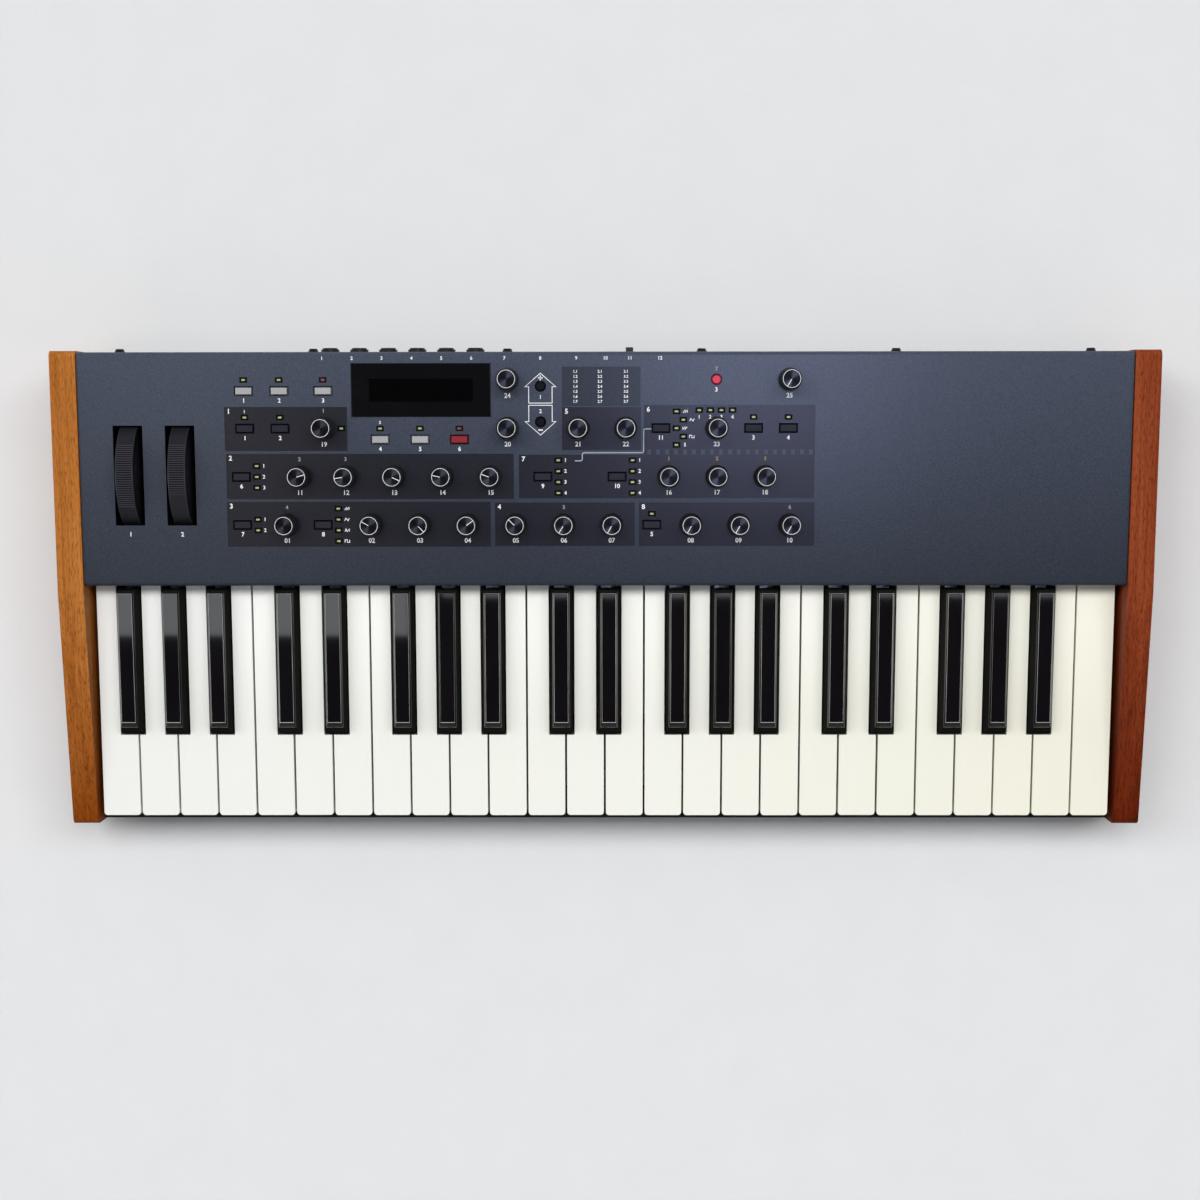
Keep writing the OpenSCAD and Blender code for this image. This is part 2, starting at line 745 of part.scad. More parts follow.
// Main board on its standoffs, with its larger chips
module main_board() {
    piece("seagreen") {
        block([ux(main_u[0]), ux(main_u[1])], main_v, above(main_top - board_t, board_t));
        for (k = CHIP_PLACES)
            pad([main_u[0] + k * (main_u[1] - main_u[0]), main_v[0] + chip_inset], chip_l, chip_l,
                [main_top - board_t / 2, main_top + chip_h]);
    }
}

// Jack socket: body on the main board, threaded nose through the rear wall, and the plug's bore
module jack(u) {
    tip = panel_d + jack_reach;
    face = wall_in - part_gap;
    difference() {
        union() {
            rear_box(u, jack_z, jack_body[0], jack_body[2], [face - jack_body[1], face]);
            rear_bar(u, jack_z, jack_nose_d, [face - cut, tip]);
        }
        rear_bar(u, jack_z, jack_bore_d, [tip - jack_depth, tip + cut]);
    }
    difference() {
        rear_bar(u, jack_z, jack_nut_d, above(wall_out, jack_nut_t));
        rear_bar(u, jack_z, jack_nose_d + 2 * part_gap, span(wall_out, 4 * jack_nut_t));
    }
}

module audio_jacks() {
    piece("slategray") for (u = JACKS) jack(u);
}

// Five-pin DIN socket: nose through the rear wall, shield groove and contact holes
module din_socket(u) {
    face = wall_in - part_gap;
    tip = panel_d - socket_recess;
    difference() {
        union() {
            rear_box(u, din_z, din_body[0], din_body[2], [face - din_body[1], face]);
            rear_bar(u, din_z, din_nose_d, [face - cut, tip]);
        }
        difference() {
            rear_bar(u, din_z, din_groove[1], [tip - din_depth, tip + cut]);
            rear_bar(u, din_z, din_groove[0], [tip - din_depth - cut, tip + 2 * cut]);
        }
        for (a = [0 : 45 : 180])
            translate([din_pin_r * cos(a), 0, din_pin_r * sin(a)])
                rear_bar(u, din_z, din_pin_d, [tip - din_depth + cut, tip + cut]);
    }
}

// Square USB socket with its contact tongue
module usb_socket() {
    face = wall_in - part_gap;
    rear_box(usb_u, usb_z, usb_tongue[0], usb_tongue[1], [face - mouth_depth - cut, face - usb_tongue_inset]);
    difference() {
        rear_box(usb_u, usb_z, usb_body[0], usb_body[2], [face - usb_body[1], face]);
        rear_box(usb_u, usb_z, usb_mouth[0], usb_mouth[1], [face - mouth_depth, face + cut]);
    }
}

// Round DC inlet with its centre pin
module dc_inlet() {
    face = wall_in - part_gap;
    rear_bar(dc_u, dc_z, dc_pin_d, [face - mouth_depth - cut, face - dc_pin_inset]);
    difference() {
        rear_box(dc_u, dc_z, dc_body[0], dc_body[2], [face - dc_body[1], face]);
        rear_bar(dc_u, dc_z, dc_bore_d, [face - mouth_depth, face + cut]);
    }
}

// Housing that the power switch's lever slides in
module switch_housing() {
    face = wall_in - part_gap;
    mouth = switch_w + 2 * fit_clear;
    difference() {
        rear_box(switch_u, switch_z, switch_body[0], switch_body[2], [face - switch_body[1], face]);
        rear_box(switch_u, switch_z, mouth, mouth, [face - switch_body[1] + switch_back, face + cut]);
    }
}

module data_sockets() {
    piece("black") {
        for (u = DINS) din_socket(u);
        usb_socket();
        dc_inlet();
        switch_housing();
    }
}

// Push lever of the power switch
module power_switch() {
    back = wall_in - part_gap - switch_body[1] + switch_back + switch_play;
    piece("black") rear_box(switch_u, switch_z, switch_w, switch_w, [back, panel_d + switch_reach]);
}

// Bearing plates of the two wheels, on one foot
module wheel_bracket() {
    edge = wheel_u - wheel_pitch / 2;
    middle = edge + wheel_pitch;
    reach = 2 * wheel_pitch + plate_t;
    piece("gray") difference() {
        union() {
            pad([middle, wheel_v], reach, 2 * plate_v, above(pan_floor, plate_foot_t));
            for (k = [0 : 2])
                pad([edge + k * wheel_pitch, wheel_v], plate_t, 2 * plate_v, [pan_floor, wheel_z + axle_d]);
        }
        cross_bar(span(ux(middle), reach + 2 * cut), wheel_v, wheel_z, axle_d + 2 * run_clear);
    }
}

// Wheel with rounded rim edges and its own axle stubs
module wheel(u) {
    half = wheel_w / 2;
    reach = (wheel_pitch - plate_t) / 2 + axle_seat;
    profile = concat(
        [[0, -reach], [axle_d / 2, -reach], [axle_d / 2, -half], [wheel_r - wheel_edge, -half]],
        corner([wheel_r - wheel_edge, -half + wheel_edge], wheel_edge, -90),
        corner([wheel_r - wheel_edge, half - wheel_edge], wheel_edge, 0),
        [[axle_d / 2, half], [axle_d / 2, reach], [0, reach]]
    );
    translate([ux(u), wheel_v, wheel_z]) rotate([0, 90, 0]) rotate_extrude() polygon(profile);
}

module pitch_wheel() {
    piece("black") wheel(wheel_u);
}

module mod_wheel() {
    piece("black") wheel(wheel_u + wheel_pitch);
}

// Rubber feet, recessed for their screws
module rubber_feet() {
    piece("black") for (f = FEET) difference() {
        translate([ux(f[0]), f[1], 0]) cylinder(d1 = foot_d - foot_taper, d2 = foot_d, h = foot_h);
        post(f, screw_head_d + 2 * mouth_rim, [-cut, foot_screw_z]);
        post(f, screw_hole_d, [0, foot_h + cut]);
    }
}

// Domed screw head with a cross recess, standing up from its seat
module screw_head() {
    difference() {
        cylinder(d1 = screw_head_d, d2 = screw_head_d - screw_dome, h = screw_head_h);
        for (a = [0, 90])
            rotate([0, 0, a]) translate([-recess_l / 2, -recess_w / 2, screw_head_h - recess_sink])
                cube([recess_l, recess_w, recess_sink + cut]);
    }
}

// Screws in the rear flange, the cheeks and the feet
module case_screws() {
    half = inner_w / 2 - pan_t;
    piece("black") {
        for (u = REAR_SCREWS) {
            translate([ux(u), panel_d, rear_screw_z]) rotate([-90, 0, 0]) screw_head();
            rear_bar(u, rear_screw_z, screw_d, [wall_in - screw_tip, panel_d + cut]);
        }
        for (s = [-1, 1]) for (v = CHEEK_SCREWS) {
            translate([s * half, v, cheek_screw_z]) rotate([0, -90 * s, 0]) screw_head();
            cross_bar(span(s * (half + cheek_screw_l / 2 - cut), cheek_screw_l), v, cheek_screw_z, screw_d);
        }
        for (f = FEET) {
            translate([ux(f[0]), f[1], foot_screw_z]) rotate([180, 0, 0]) screw_head();
            post(f, screw_d, [foot_screw_z - cut, pan_floor + screw_tip]);
        }
    }
}

// Button cap with the flange that keeps it under the panel and the stem over its switch
module bar_button(at) {
    top = panel_under - rest_gap;
    pad(at, button_l, button_w, [top - button_flange_t, panel_top + button_rise]);
    pad(at, button_l + 2 * button_flange, button_w + 2 * button_flange,
        above(top - button_flange_t, button_flange_t));
    pad(at, plunger_d, plunger_d, [stem_z, top]);
}

module round_button(at) {
    top = panel_under - rest_gap;
    post(at, round_d, [top - button_flange_t, panel_top + button_rise]);
    post(at, round_d + 2 * button_flange, above(top - button_flange_t, button_flange_t));
    post(at, plunger_d, [stem_z, top]);
}

module light_buttons() {
    piece("lightgray") for (b = LIGHT_BUTTONS) bar_button(b);
}

module dark_buttons() {
    piece("darkslategray") for (b = DARK_BUTTONS) bar_button(b);
}

module red_buttons() {
    piece("crimson") {
        bar_button(RED_BUTTON);
        round_button(TAP_BUTTON);
    }
}

module step_buttons() {
    piece("black") for (b = STEP_BUTTONS) round_button(b);
}

// Knob on its shaft: tapered skirt, raised ring round a flat disc, and a pointer groove if it has an angle
module knob(k) {
    ring_r = ring_d / 2;
    disc_r = ring_r - ring_w;
    profile = [
        [0, shaft_z - panel_top], [shaft_d / 2, shaft_z - panel_top], [shaft_d / 2, knob_foot],
        [knob_d / 2, knob_foot], [knob_d / 2, knob_skirt_h], [knob_top_d / 2, knob_h - knob_edge_h],
        [ring_r, knob_h], [disc_r, knob_h], [disc_r, knob_h - disc_sink], [0, knob_h - disc_sink]
    ];
    piece("black") translate([ux(k[1]), row_v(k[2]), panel_top]) difference() {
        rotate_extrude() polygon(profile);
        if (!is_undef(k[3])) rotate([0, 0, k[3]])
            translate([pointer_inset, -pointer_w / 2, knob_h - disc_sink - pointer_sink])
                cube([disc_r - 2 * pointer_inset, pointer_w, cut]);
    }
}

base_pan();
top_panel();
left_cheek();
right_cheek();
key_frame();
hinge_rod();
key_felts();
display_window();
control_board();
indicator_lights();
main_board();
audio_jacks();
data_sockets();
wheel_bracket();
rubber_feet();
case_screws();
pitch_wheel();
mod_wheel();
power_switch();
light_buttons();
dark_buttons();
red_buttons();
step_buttons();
for (n = [0 : 6]) {
    white_keys(n);
    black_keys(n);
}
for (k = KNOBS) knob(k);
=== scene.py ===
import json
import math

import bpy
import numpy as np
from mathutils import Matrix, Vector


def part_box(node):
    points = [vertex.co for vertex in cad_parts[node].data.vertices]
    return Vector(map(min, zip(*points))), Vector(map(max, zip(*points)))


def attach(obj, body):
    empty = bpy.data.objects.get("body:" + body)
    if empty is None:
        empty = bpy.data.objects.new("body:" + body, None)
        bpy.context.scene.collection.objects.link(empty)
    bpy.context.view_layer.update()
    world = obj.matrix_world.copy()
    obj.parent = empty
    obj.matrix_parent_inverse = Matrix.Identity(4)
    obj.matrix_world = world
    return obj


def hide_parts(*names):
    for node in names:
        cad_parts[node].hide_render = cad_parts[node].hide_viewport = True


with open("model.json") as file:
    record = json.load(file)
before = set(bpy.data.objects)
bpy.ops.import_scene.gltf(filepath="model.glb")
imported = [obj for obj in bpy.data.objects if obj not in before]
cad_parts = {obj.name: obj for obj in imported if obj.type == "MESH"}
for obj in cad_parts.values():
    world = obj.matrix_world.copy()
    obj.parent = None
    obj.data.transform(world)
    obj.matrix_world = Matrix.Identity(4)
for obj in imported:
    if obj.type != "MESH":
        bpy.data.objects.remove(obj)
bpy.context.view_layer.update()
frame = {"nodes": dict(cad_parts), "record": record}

MM = 0.001
NODES = frame["nodes"]
SUBPARTS = frame["record"]["subparts"]
PANEL_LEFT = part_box("left_cheek")[1].x
PANEL_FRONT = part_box("top_panel")[0].y
PANEL_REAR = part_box("top_panel")[1].y
PANEL_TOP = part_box("top_panel")[1].z
KEY_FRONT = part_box("keys_f")[0].y
BLACK_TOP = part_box("keys_f_sharp")[1].z

# The four rows of controls, and how far behind its button a light lies
ROW_V = [36.0, 64.1, 92.2, 120.3]
LED_RISE = 6.4


def place(u, v):
    """Scene point of a panel place."""
    return (PANEL_LEFT + u * MM, PANEL_FRONT + v * MM, PANEL_TOP)


# Node helpers

def new_material(name):
    """An empty node material, its tree and its Principled shader."""
    mat = bpy.data.materials.new(name)
    mat.use_nodes = True
    return mat, mat.node_tree, mat.node_tree.nodes["Principled BSDF"]


def plug(tree, node, links):
    """Links each named input of a node to a socket, or sets it to a value."""
    for name, value in links.items():
        if isinstance(value, bpy.types.NodeSocket):
            tree.links.new(value, node.inputs[name])
        else:
            node.inputs[name].default_value = value


def add(tree, kind, links=(), **values):
    """A node of one kind, its properties set from values and its inputs linked or set from links."""
    node = tree.nodes.new(kind)
    for key, value in values.items():
        setattr(node, key, value)
    plug(tree, node, dict(links))
    return node


def calculate(tree, operation, *values):
    """Result of a Math node on sockets or numbers."""
    return add(tree, "ShaderNodeMath", dict(enumerate(values)), operation=operation).outputs[0]


def calculate_vector(tree, operation, *values):
    """A Vector Math node on sockets or vectors."""
    return add(tree, "ShaderNodeVectorMath", dict(enumerate(values)), operation=operation)


def object_space(tree, scale=(1, 1, 1), shift=(0, 0, 0)):
    """Object coordinates through one Mapping node."""
    coords = add(tree, "ShaderNodeTexCoord").outputs["Object"]
    links = {"Vector": coords, "Scale": scale, "Location": shift}
    return add(tree, "ShaderNodeMapping", links).outputs["Vector"]


def along(tree, axis):
    """Object coordinate along one axis."""
    return add(tree, "ShaderNodeSeparateXYZ", {"Vector": object_space(tree)}).outputs[axis]


def own_map(tree):
    """The piece's own map, as a vector."""
    return add(tree, "ShaderNodeUVMap", uv_map="turning").outputs["UV"]


def noise(tree, vector, scale, detail=3.0, rough=0.55):
    """Height of a fractal noise, from 0 to 1."""
    links = {"Vector": vector, "Scale": scale, "Detail": detail, "Roughness": rough}
    return add(tree, "ShaderNodeTexNoise", links).outputs["Fac"]


def spread(tree, value, low, high, start=0.3, end=0.7):
    """A value carried from the range start to end into the range low to high."""
    links = {"Value": value, "From Min": start, "From Max": end, "To Min": low, "To Max": high}
    return add(tree, "ShaderNodeMapRange", links).outputs["Result"]


def ramp(tree, value, stops):
    """A colour ramp through pairs of place and colour."""
    node = add(tree, "ShaderNodeValToRGB", {"Fac": value})
    elements = node.color_ramp.elements
    while len(elements) < len(stops):
        elements.new(0.5)
    for element, (at, colour) in zip(elements, stops):
        element.position = at
        element.color = (*colour, 1)
    return node.outputs["Color"]


def rgba(colour):
    """A colour as an input takes it: a socket stays, and three channels get full alpha."""
    return colour if isinstance(colour, bpy.types.NodeSocket) else (*colour, 1)


def mix(tree, fac, a, b, blend="MIX"):
    """Colour a where fac is 0 and, where it is 1, colour b or the two blended."""
    node = add(tree, "ShaderNodeMix", data_type="RGBA", blend_type=blend)
    plug(tree, node, {0: fac, 6: rgba(a), 7: rgba(b)})
    return node.outputs[2]


def bump(tree, bsdf, height, depth):
    """Bump of a height map, with its depth in metres, on the shader's normal."""
    node = add(tree, "ShaderNodeBump", {"Height": height, "Distance": depth})
    plug(tree, bsdf, {"Normal": node.outputs["Normal"]})


# Finishes: noise scales in waves per metre, the wood's and scuffs' per axis

CLOUD, WEAR = 28, 210
SPECK, PEEL, PATCH = 2100, 900, 9
BROAD_GRAIN, STREAK_GRAIN, PORE_GRAIN = (70, 3.2, 40), (620, 9, 620), (1500, 210, 1500)
SCUFF_GRAIN = (260, 30, 260)


def moulded(name, colour, rough, tone=0.12, grain=1500, depth=0.00003, metallic=0.0, specular=0.5):
    """A finish whose tone and roughness wander slowly, with a fine grain as bump."""
    mat, tree, bsdf = new_material(name)
    space = object_space(tree)
    darker = tuple(c * (1 - tone) for c in colour)
    lighter = tuple(min(1, c * (1 + tone)) for c in colour)
    plug(tree, bsdf, {
        "Base Color": ramp(tree, noise(tree, space, CLOUD), [(0.3, darker), (0.7, lighter)]),
        "Roughness": spread(tree, noise(tree, space, WEAR), rough * 0.85, rough * 1.15),
        "Metallic": metallic,
        "Specular IOR Level": specular,
    })
    bump(tree, bsdf, noise(tree, space, grain, 2), depth)
    return mat


def ribbed_plastic(name, colour, crest_highlight, groove):
    """Wheel plastic; its map tells how far a place lies on a crest, painted paler as a highlight, and how
    far in a groove, painted darker as shade.
    """
    mat = moulded(name, colour, 0.4, 0.15, 1400, specular=0.35)
    tree = mat.node_tree
    base = tree.nodes["Principled BSDF"].inputs["Base Color"]
    share = add(tree, "ShaderNodeSeparateXYZ", {"Vector": own_map(tree)})
    with_painted_highlight = mix(tree, share.outputs["X"], base.links[0].from_socket, crest_highlight)
    tree.links.new(mix(tree, share.outputs["Y"], with_painted_highlight, groove), base)
    return mat


def painted_front_shade(tree, colour, start, end, share):
    """Painted shade: a colour that deepens along Y, from the end back to the start, to a share of each of
    its channels.
    """
    return mix(tree, spread(tree, along(tree, "Y"), 1, 0, start, end), colour, share, "MULTIPLY")


def powder_coat(name, colour, depth, front=1.0, sheen=0.0):
    """Powder coat: two sizes of orange peel as bump, a speckle of tone, and painted shade that deepens the
    tone towards the front.
    """
    mat, tree, bsdf = new_material(name)
    space = object_space(tree)
    speck = noise(tree, space, SPECK, 2)
    peel = noise(tree, space, PEEL, 2)
    darker = tuple(c * 0.72 for c in colour)
    lighter = tuple(c * 1.3 for c in colour)
    tone = ramp(tree, speck, [(0.34, darker), (0.68, lighter)])
    plug(tree, bsdf, {
        "Base Color": painted_front_shade(tree, tone, PANEL_FRONT, PANEL_REAR, (front, front, front)),
        "Roughness": spread(tree, noise(tree, space, PATCH), 0.5, 0.6),
        "Specular IOR Level": 0.14,
        "Coat Weight": sheen,
        "Coat Roughness": 0.22,
    })
    bump(tree, bsdf, calculate(tree, "ADD", speck, peel), depth)
    return mat


def oiled_wood(name, dark, middle, light, shift):
    """Oiled hardwood: broad bands, fine streaks and short dark pores, each a noise drawn out along Y."""
    mat, tree, bsdf = new_material(name)
    broad = noise(tree, object_space(tree, BROAD_GRAIN, shift), 1, 4, 0.6)
    streak = noise(tree, object_space(tree, STREAK_GRAIN, shift), 1, 3, 0.6)
    pore = noise(tree, object_space(tree, PORE_GRAIN, shift), 1, 2)
    grain = calculate(tree, "MULTIPLY", calculate(tree, "ADD", broad, streak), 0.5)
    body = ramp(tree, grain, [(0.34, dark), (0.5, middle), (0.66, light)])
    pores = ramp(tree, pore, [(0.36, (1, 1, 1)), (0.47, (0, 0, 0))])
    shaded = mix(tree, spread(tree, pores, 0, 0.55, 0, 1), body, tuple(c * 0.45 for c in dark))
    # Painted shade: the wood deepens and reddens towards the key fronts
    plug(tree, bsdf, {
        "Base Color": painted_front_shade(tree, shaded, KEY_FRONT, PANEL_FRONT, (0.50, 0.32, 0.12)),
        "Roughness": spread(tree, streak, 0.38, 0.55),
        "Specular IOR Level": 0.06,
    })
    bump(tree, bsdf, pores, -0.00006)
    return mat


WHITE_SPAN = (-0.3, 0.3)
REAR_LIGHT_SPAN = (PANEL_FRONT - 0.085, PANEL_FRONT - 0.025)


def aged_white(name):
    """Polished key plastic: a cool white that yellows towards the high end, with faint scuffs, and painted
    light that lifts it towards the rear.
    """
    mat, tree, bsdf = new_material(name)
    tint = ramp(tree, spread(tree, along(tree, "X"), 0, 1, *WHITE_SPAN),
                [(0.0, (0.88, 0.885, 0.845)), (0.55, (0.90, 0.90, 0.82)), (1.0, (0.885, 0.87, 0.735))])
    # Painted light: the white is lifted towards the rear of the keys, where the panel and black keys shade
    # it
    rear_painted_light = spread(tree, along(tree, "Y"), 0, 1, *REAR_LIGHT_SPAN)
    tint = mix(tree, rear_painted_light, tint, (1.10, 1.10, 1.12), "MULTIPLY")
    scuff = noise(tree, object_space(tree, SCUFF_GRAIN), 1, 4)
    plug(tree, bsdf, {
        "Base Color": mix(tree, spread(tree, scuff, 0, 0.025), tint, (0.70, 0.67, 0.56)),
        "Roughness": spread(tree, scuff, 0.2, 0.26),
    })
    bump(tree, bsdf, noise(tree, object_space(tree), 1300, 2), 0.000012)
    return mat


EDGE_DROP = 0.0003
CHAMFER_DROP = 0.0018
CHAMFER_GLOSS = (0.42, 0.42, 0.42)


def polished_top(name, colour, edge, flank, top):
    """Black key plastic: a polished top, its rounded edge painted paler as a highlight, glossy chamfers and
    satin flanks.
    """
    mat, tree, bsdf = new_material(name)
    space = object_space(tree)
    up = along(tree, "Z")
    # Painted highlight: the top's rounded edge gets a paler colour than the rest
    with_painted_highlight = ramp(tree, spread(tree, up, 0, 1, top - EDGE_DROP, top),
                  [(0.50, flank), (0.62, edge), (0.93, edge), (0.985, colour)])
    gloss = ramp(tree, spread(tree, up, 0, 1, top - CHAMFER_DROP, top),
                 [(0.0, (0, 0, 0)), (0.35, CHAMFER_GLOSS), (0.83, CHAMFER_GLOSS), (0.92, (0.5, 0.5, 0.5))])
    cloud = spread(tree, noise(tree, space, CLOUD), 0, 0.3)
    plug(tree, bsdf, {
        "Base Color": mix(tree, cloud, with_painted_highlight, (0, 0, 0)),
        "Roughness": spread(tree, up, 0.2, 0.035, top - EDGE_DROP, top - EDGE_DROP / 2),
        "Specular IOR Level": gloss,
    })
    bump(tree, bsdf, noise(tree, space, PEEL, 2), 0.0000006)
    return mat


TINT_REACH = 0.004


def light_resin(name, places, tint, other, rough, cloudy=0.2, specular=0.25):
    """Tinted resin: one tint everywhere and another within reach of the given places, a little clouded."""
    mat, tree, bsdf = new_material(name)
    space = object_space(tree)
    colour = tint
    for at in places:
        away = calculate_vector(tree, "DISTANCE", space, at).outputs["Value"]
        colour = mix(tree, calculate(tree, "LESS_THAN", away, TINT_REACH), colour, other)
    cloud = spread(tree, noise(tree, space, 700, 2), 0, cloudy)
    plug(tree, bsdf, {
        "Base Color": mix(tree, cloud, colour, (0.6, 0.6, 0.5)),
        "Roughness": rough,
        "Specular IOR Level": specular,
    })
    return mat


def window_acrylic(name, middle, half):
    """Gloss black acrylic, a shade darker over the display: the rectangle of half sizes about a middle."""
    mat, tree, bsdf = new_material(name)
    space = object_space(tree)
    away = calculate_vector(tree, "SUBTRACT", space, middle).outputs[0]
    away = calculate_vector(tree, "ABSOLUTE", away).outputs[0]
    away = add(tree, "ShaderNodeSeparateXYZ", {"Vector": away})
    inside = calculate(tree, "MULTIPLY", calculate(tree, "LESS_THAN", away.outputs["X"], half[0]),
                       calculate(tree, "LESS_THAN", away.outputs["Y"], half[1]))
    cloud = ramp(tree, noise(tree, space, 40),
                 [(0.3, (0.0040, 0.0036, 0.0044)), (0.7, (0.0052, 0.0046, 0.0056))])
    plug(tree, bsdf, {
        "Base Color": mix(tree, inside, cloud, (0.0012, 0.0011, 0.0014)),
        "Roughness": spread(tree, noise(tree, space, 300), 0.05, 0.09),
    })
    return mat


WEDGE_HIGHLIGHT_TURN = -2.0


def spun_metal(name):
    """Dark metal turned on a lathe: two pale wedges about the centre of its map, painted highlights, and
    fine rings as bump.
    """
    mat, tree, bsdf = new_material(name)
    flat = own_map(tree)
    parts = add(tree, "ShaderNodeSeparateXYZ", {"Vector": flat})
    angle = calculate(tree, "ARCTAN2", parts.outputs["Y"], parts.outputs["X"])
    # Painted highlights: two pale wedges across the disc, as a spun disc mirrors light
    wedge_highlight = calculate(tree, "COSINE", calculate(tree, "MULTIPLY_ADD", angle, 2.0, WEDGE_HIGHLIGHT_TURN))
    away = calculate_vector(tree, "LENGTH", flat).outputs["Value"]
    rings = noise(tree, add(tree, "ShaderNodeCombineXYZ", {"X": away}).outputs[0], 55, 2)
    tone = calculate(tree, "ADD", spread(tree, wedge_highlight, 0, 1, -1, 1), spread(tree, rings, -0.12, 0.12))
    plug(tree, bsdf, {
        "Base Color": ramp(tree, tone, [(0.1, (0.010, 0.010, 0.011)), (0.65, (0.022, 0.022, 0.024)),
                                        (1.0, (0.085, 0.085, 0.09))]),
        "Metallic": 0.9,
        "Roughness": 0.38,
    })
    bump(tree, bsdf, rings, 0.00002)
    return mat


def felt_cloth(name, colour):
    """Dense felt: a matted noise of fibres as tone and bump, with sheen."""
    mat = moulded(name, colour, 0.95, 0.35, 2600, 0.0003)
    mat.node_tree.nodes["Principled BSDF"].inputs["Sheen Weight"].default_value = 0.5
    return mat


white_key = aged_white("white_key")
# The second colour of the black keys is a painted highlight on their rounded top edge
black_key = polished_top("black_key", (0.0062, 0.005, 0.0062), (0.5, 0.5, 0.51), (0.02, 0.02, 0.018),
                         BLACK_TOP)
# Painted shade deepens the panel to 0.42 of its tone at the front
panel_coat = powder_coat("panel_coat", (0.058, 0.070, 0.101), 0.00004, 0.42, 0.25)
pan_coat = powder_coat("pan_coat", (0.016, 0.016, 0.018), 0.00005)
cheek_left = oiled_wood("cheek_wood_left", (0.31, 0.098, 0.016), (0.455, 0.157, 0.029), (0.56, 0.22, 0.053),
                        (0, 0, 0))
cheek_right = oiled_wood("cheek_wood_right", (0.145, 0.0245, 0.0075), (0.245, 0.047, 0.0135),
                         (0.33, 0.073, 0.024), (3, 5, 2))
knob_rubber = moulded("knob_rubber", (0.014, 0.014, 0.016), 0.62, 0.15, 1900, 0.00004)
ring_metal = moulded("knob_ring_metal", (0.93, 0.93, 0.92), 0.4, 0.03, 2500, 0.000004, metallic=0.1)
disc_metal = spun_metal("knob_disc_metal")
pointer_paint = moulded("pointer_paint", (0.88, 0.88, 0.86), 0.45, 0.03)
# Wheel plastic: the crest colour is a painted highlight, the groove colour painted shade
wheel_plastic = ribbed_plastic("wheel_plastic", (0.015, 0.0152, 0.020), (0.042, 0.042, 0.052),
                               (0.004, 0.004, 0.006))
white_ink = moulded("white_ink", (0.88, 0.89, 0.90), 0.5, 0.04)
grey_ink = moulded("grey_ink", (0.30, 0.33, 0.37), 0.5, 0.05)
gold_ink = moulded("gold_ink", (0.36, 0.27, 0.07), 0.5, 0.05)
link_ink = moulded("link_ink", (0.40, 0.45, 0.50), 0.5, 0.05)
list_ink = powder_coat("list_ink", (0.028, 0.033, 0.047), 0.00004, 1.0, 0.25)
# Painted shade deepens the blocks to 0.75 of their tone at the front
block_ink = powder_coat("block_ink", (0.0145, 0.0142, 0.0205), 0.00004, 0.75, 0.35)
# Near-black ink that paints the shade of the gaps round buttons and lights
painted_gap_shade = moulded("painted_gap_shade", (0.003, 0.003, 0.004), 0.9, specular=0.05)
step_cap = moulded("step_cap", (0.006, 0.006, 0.007), 0.45, specular=0.12)

TAP = (374.3, ROW_V[3])
RED_LIGHTS = [place(144.3, ROW_V[3]), place(223.9, ROW_V[2])]
DISPLAY_HALF = (0.0303, 0.0067)
window_low, window_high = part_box("display_window")
DISPLAY_MIDDLE = (*((window_low + window_high) / 2).xy, window_high.z)

SLOT_FINISH = {
    "pan_steel": pan_coat,
    "panel_coat": panel_coat,
    "frame_steel": moulded("frame_steel", (0.55, 0.55, 0.53), 0.35, 0.08, 800, 0.00002, metallic=1.0),
    "felt": felt_cloth("key_felt", (0.25, 0.03, 0.03)),
    "window": window_acrylic("window_acrylic", DISPLAY_MIDDLE, DISPLAY_HALF),
    "circuit_board": moulded("circuit_board", (0.015, 0.11, 0.045), 0.4, 0.25, 350, 0.00004),
    "light_resin": light_resin("light_lens", RED_LIGHTS, (0.007, 0.009, 0.003), (0.04, 0.004, 0.005),
                               0.4, 0.02, 0.06),
    "socket_plastic": moulded("socket_plastic", (0.016, 0.016, 0.017), 0.42),
    "bracket_plastic": moulded("bracket_plastic", (0.02, 0.02, 0.02), 0.6),
    "foot_rubber": moulded("foot_rubber", (0.018, 0.018, 0.018), 0.8, 0.2, 1200, 0.00008),
    "screw_steel": moulded("screw_steel", (0.05, 0.05, 0.053), 0.4, 0.15, 900, 0.00002, metallic=0.9),
    "wheel_plastic": wheel_plastic,
    "light_cap": moulded("light_cap", (0.38, 0.38, 0.385), 0.42, 0.06),
    "dark_cap": moulded("dark_cap", (0.022, 0.023, 0.032), 0.45, 0.1, specular=0.15),
    "red_cap": light_resin("red_cap", [place(*TAP)], (0.25, 0.014, 0.020), (0.66, 0.05, 0.085), 0.4, 0.01),
    "white_key": white_key,
    "black_key": black_key,
    "knob_rubber": knob_rubber,
}


# Paint and edges of the CAD nodes

CRISP_ANGLE, FLAT_ANGLE, ROUNDED_ANGLE = math.radians(35), math.radians(1), math.radians(28)
KEY_EDGE = {"white_key": 0.0007, "black_key": 0.0006}
CHEEK_EDGE, CAP_EDGE, WINDOW_EDGE = 0.0014, 0.0003, 0.0002


def paint(piece, *materials):
    """Gives a piece these materials and no others."""
    piece.data.materials.clear()
    for material in materials:
        piece.data.materials.append(material)


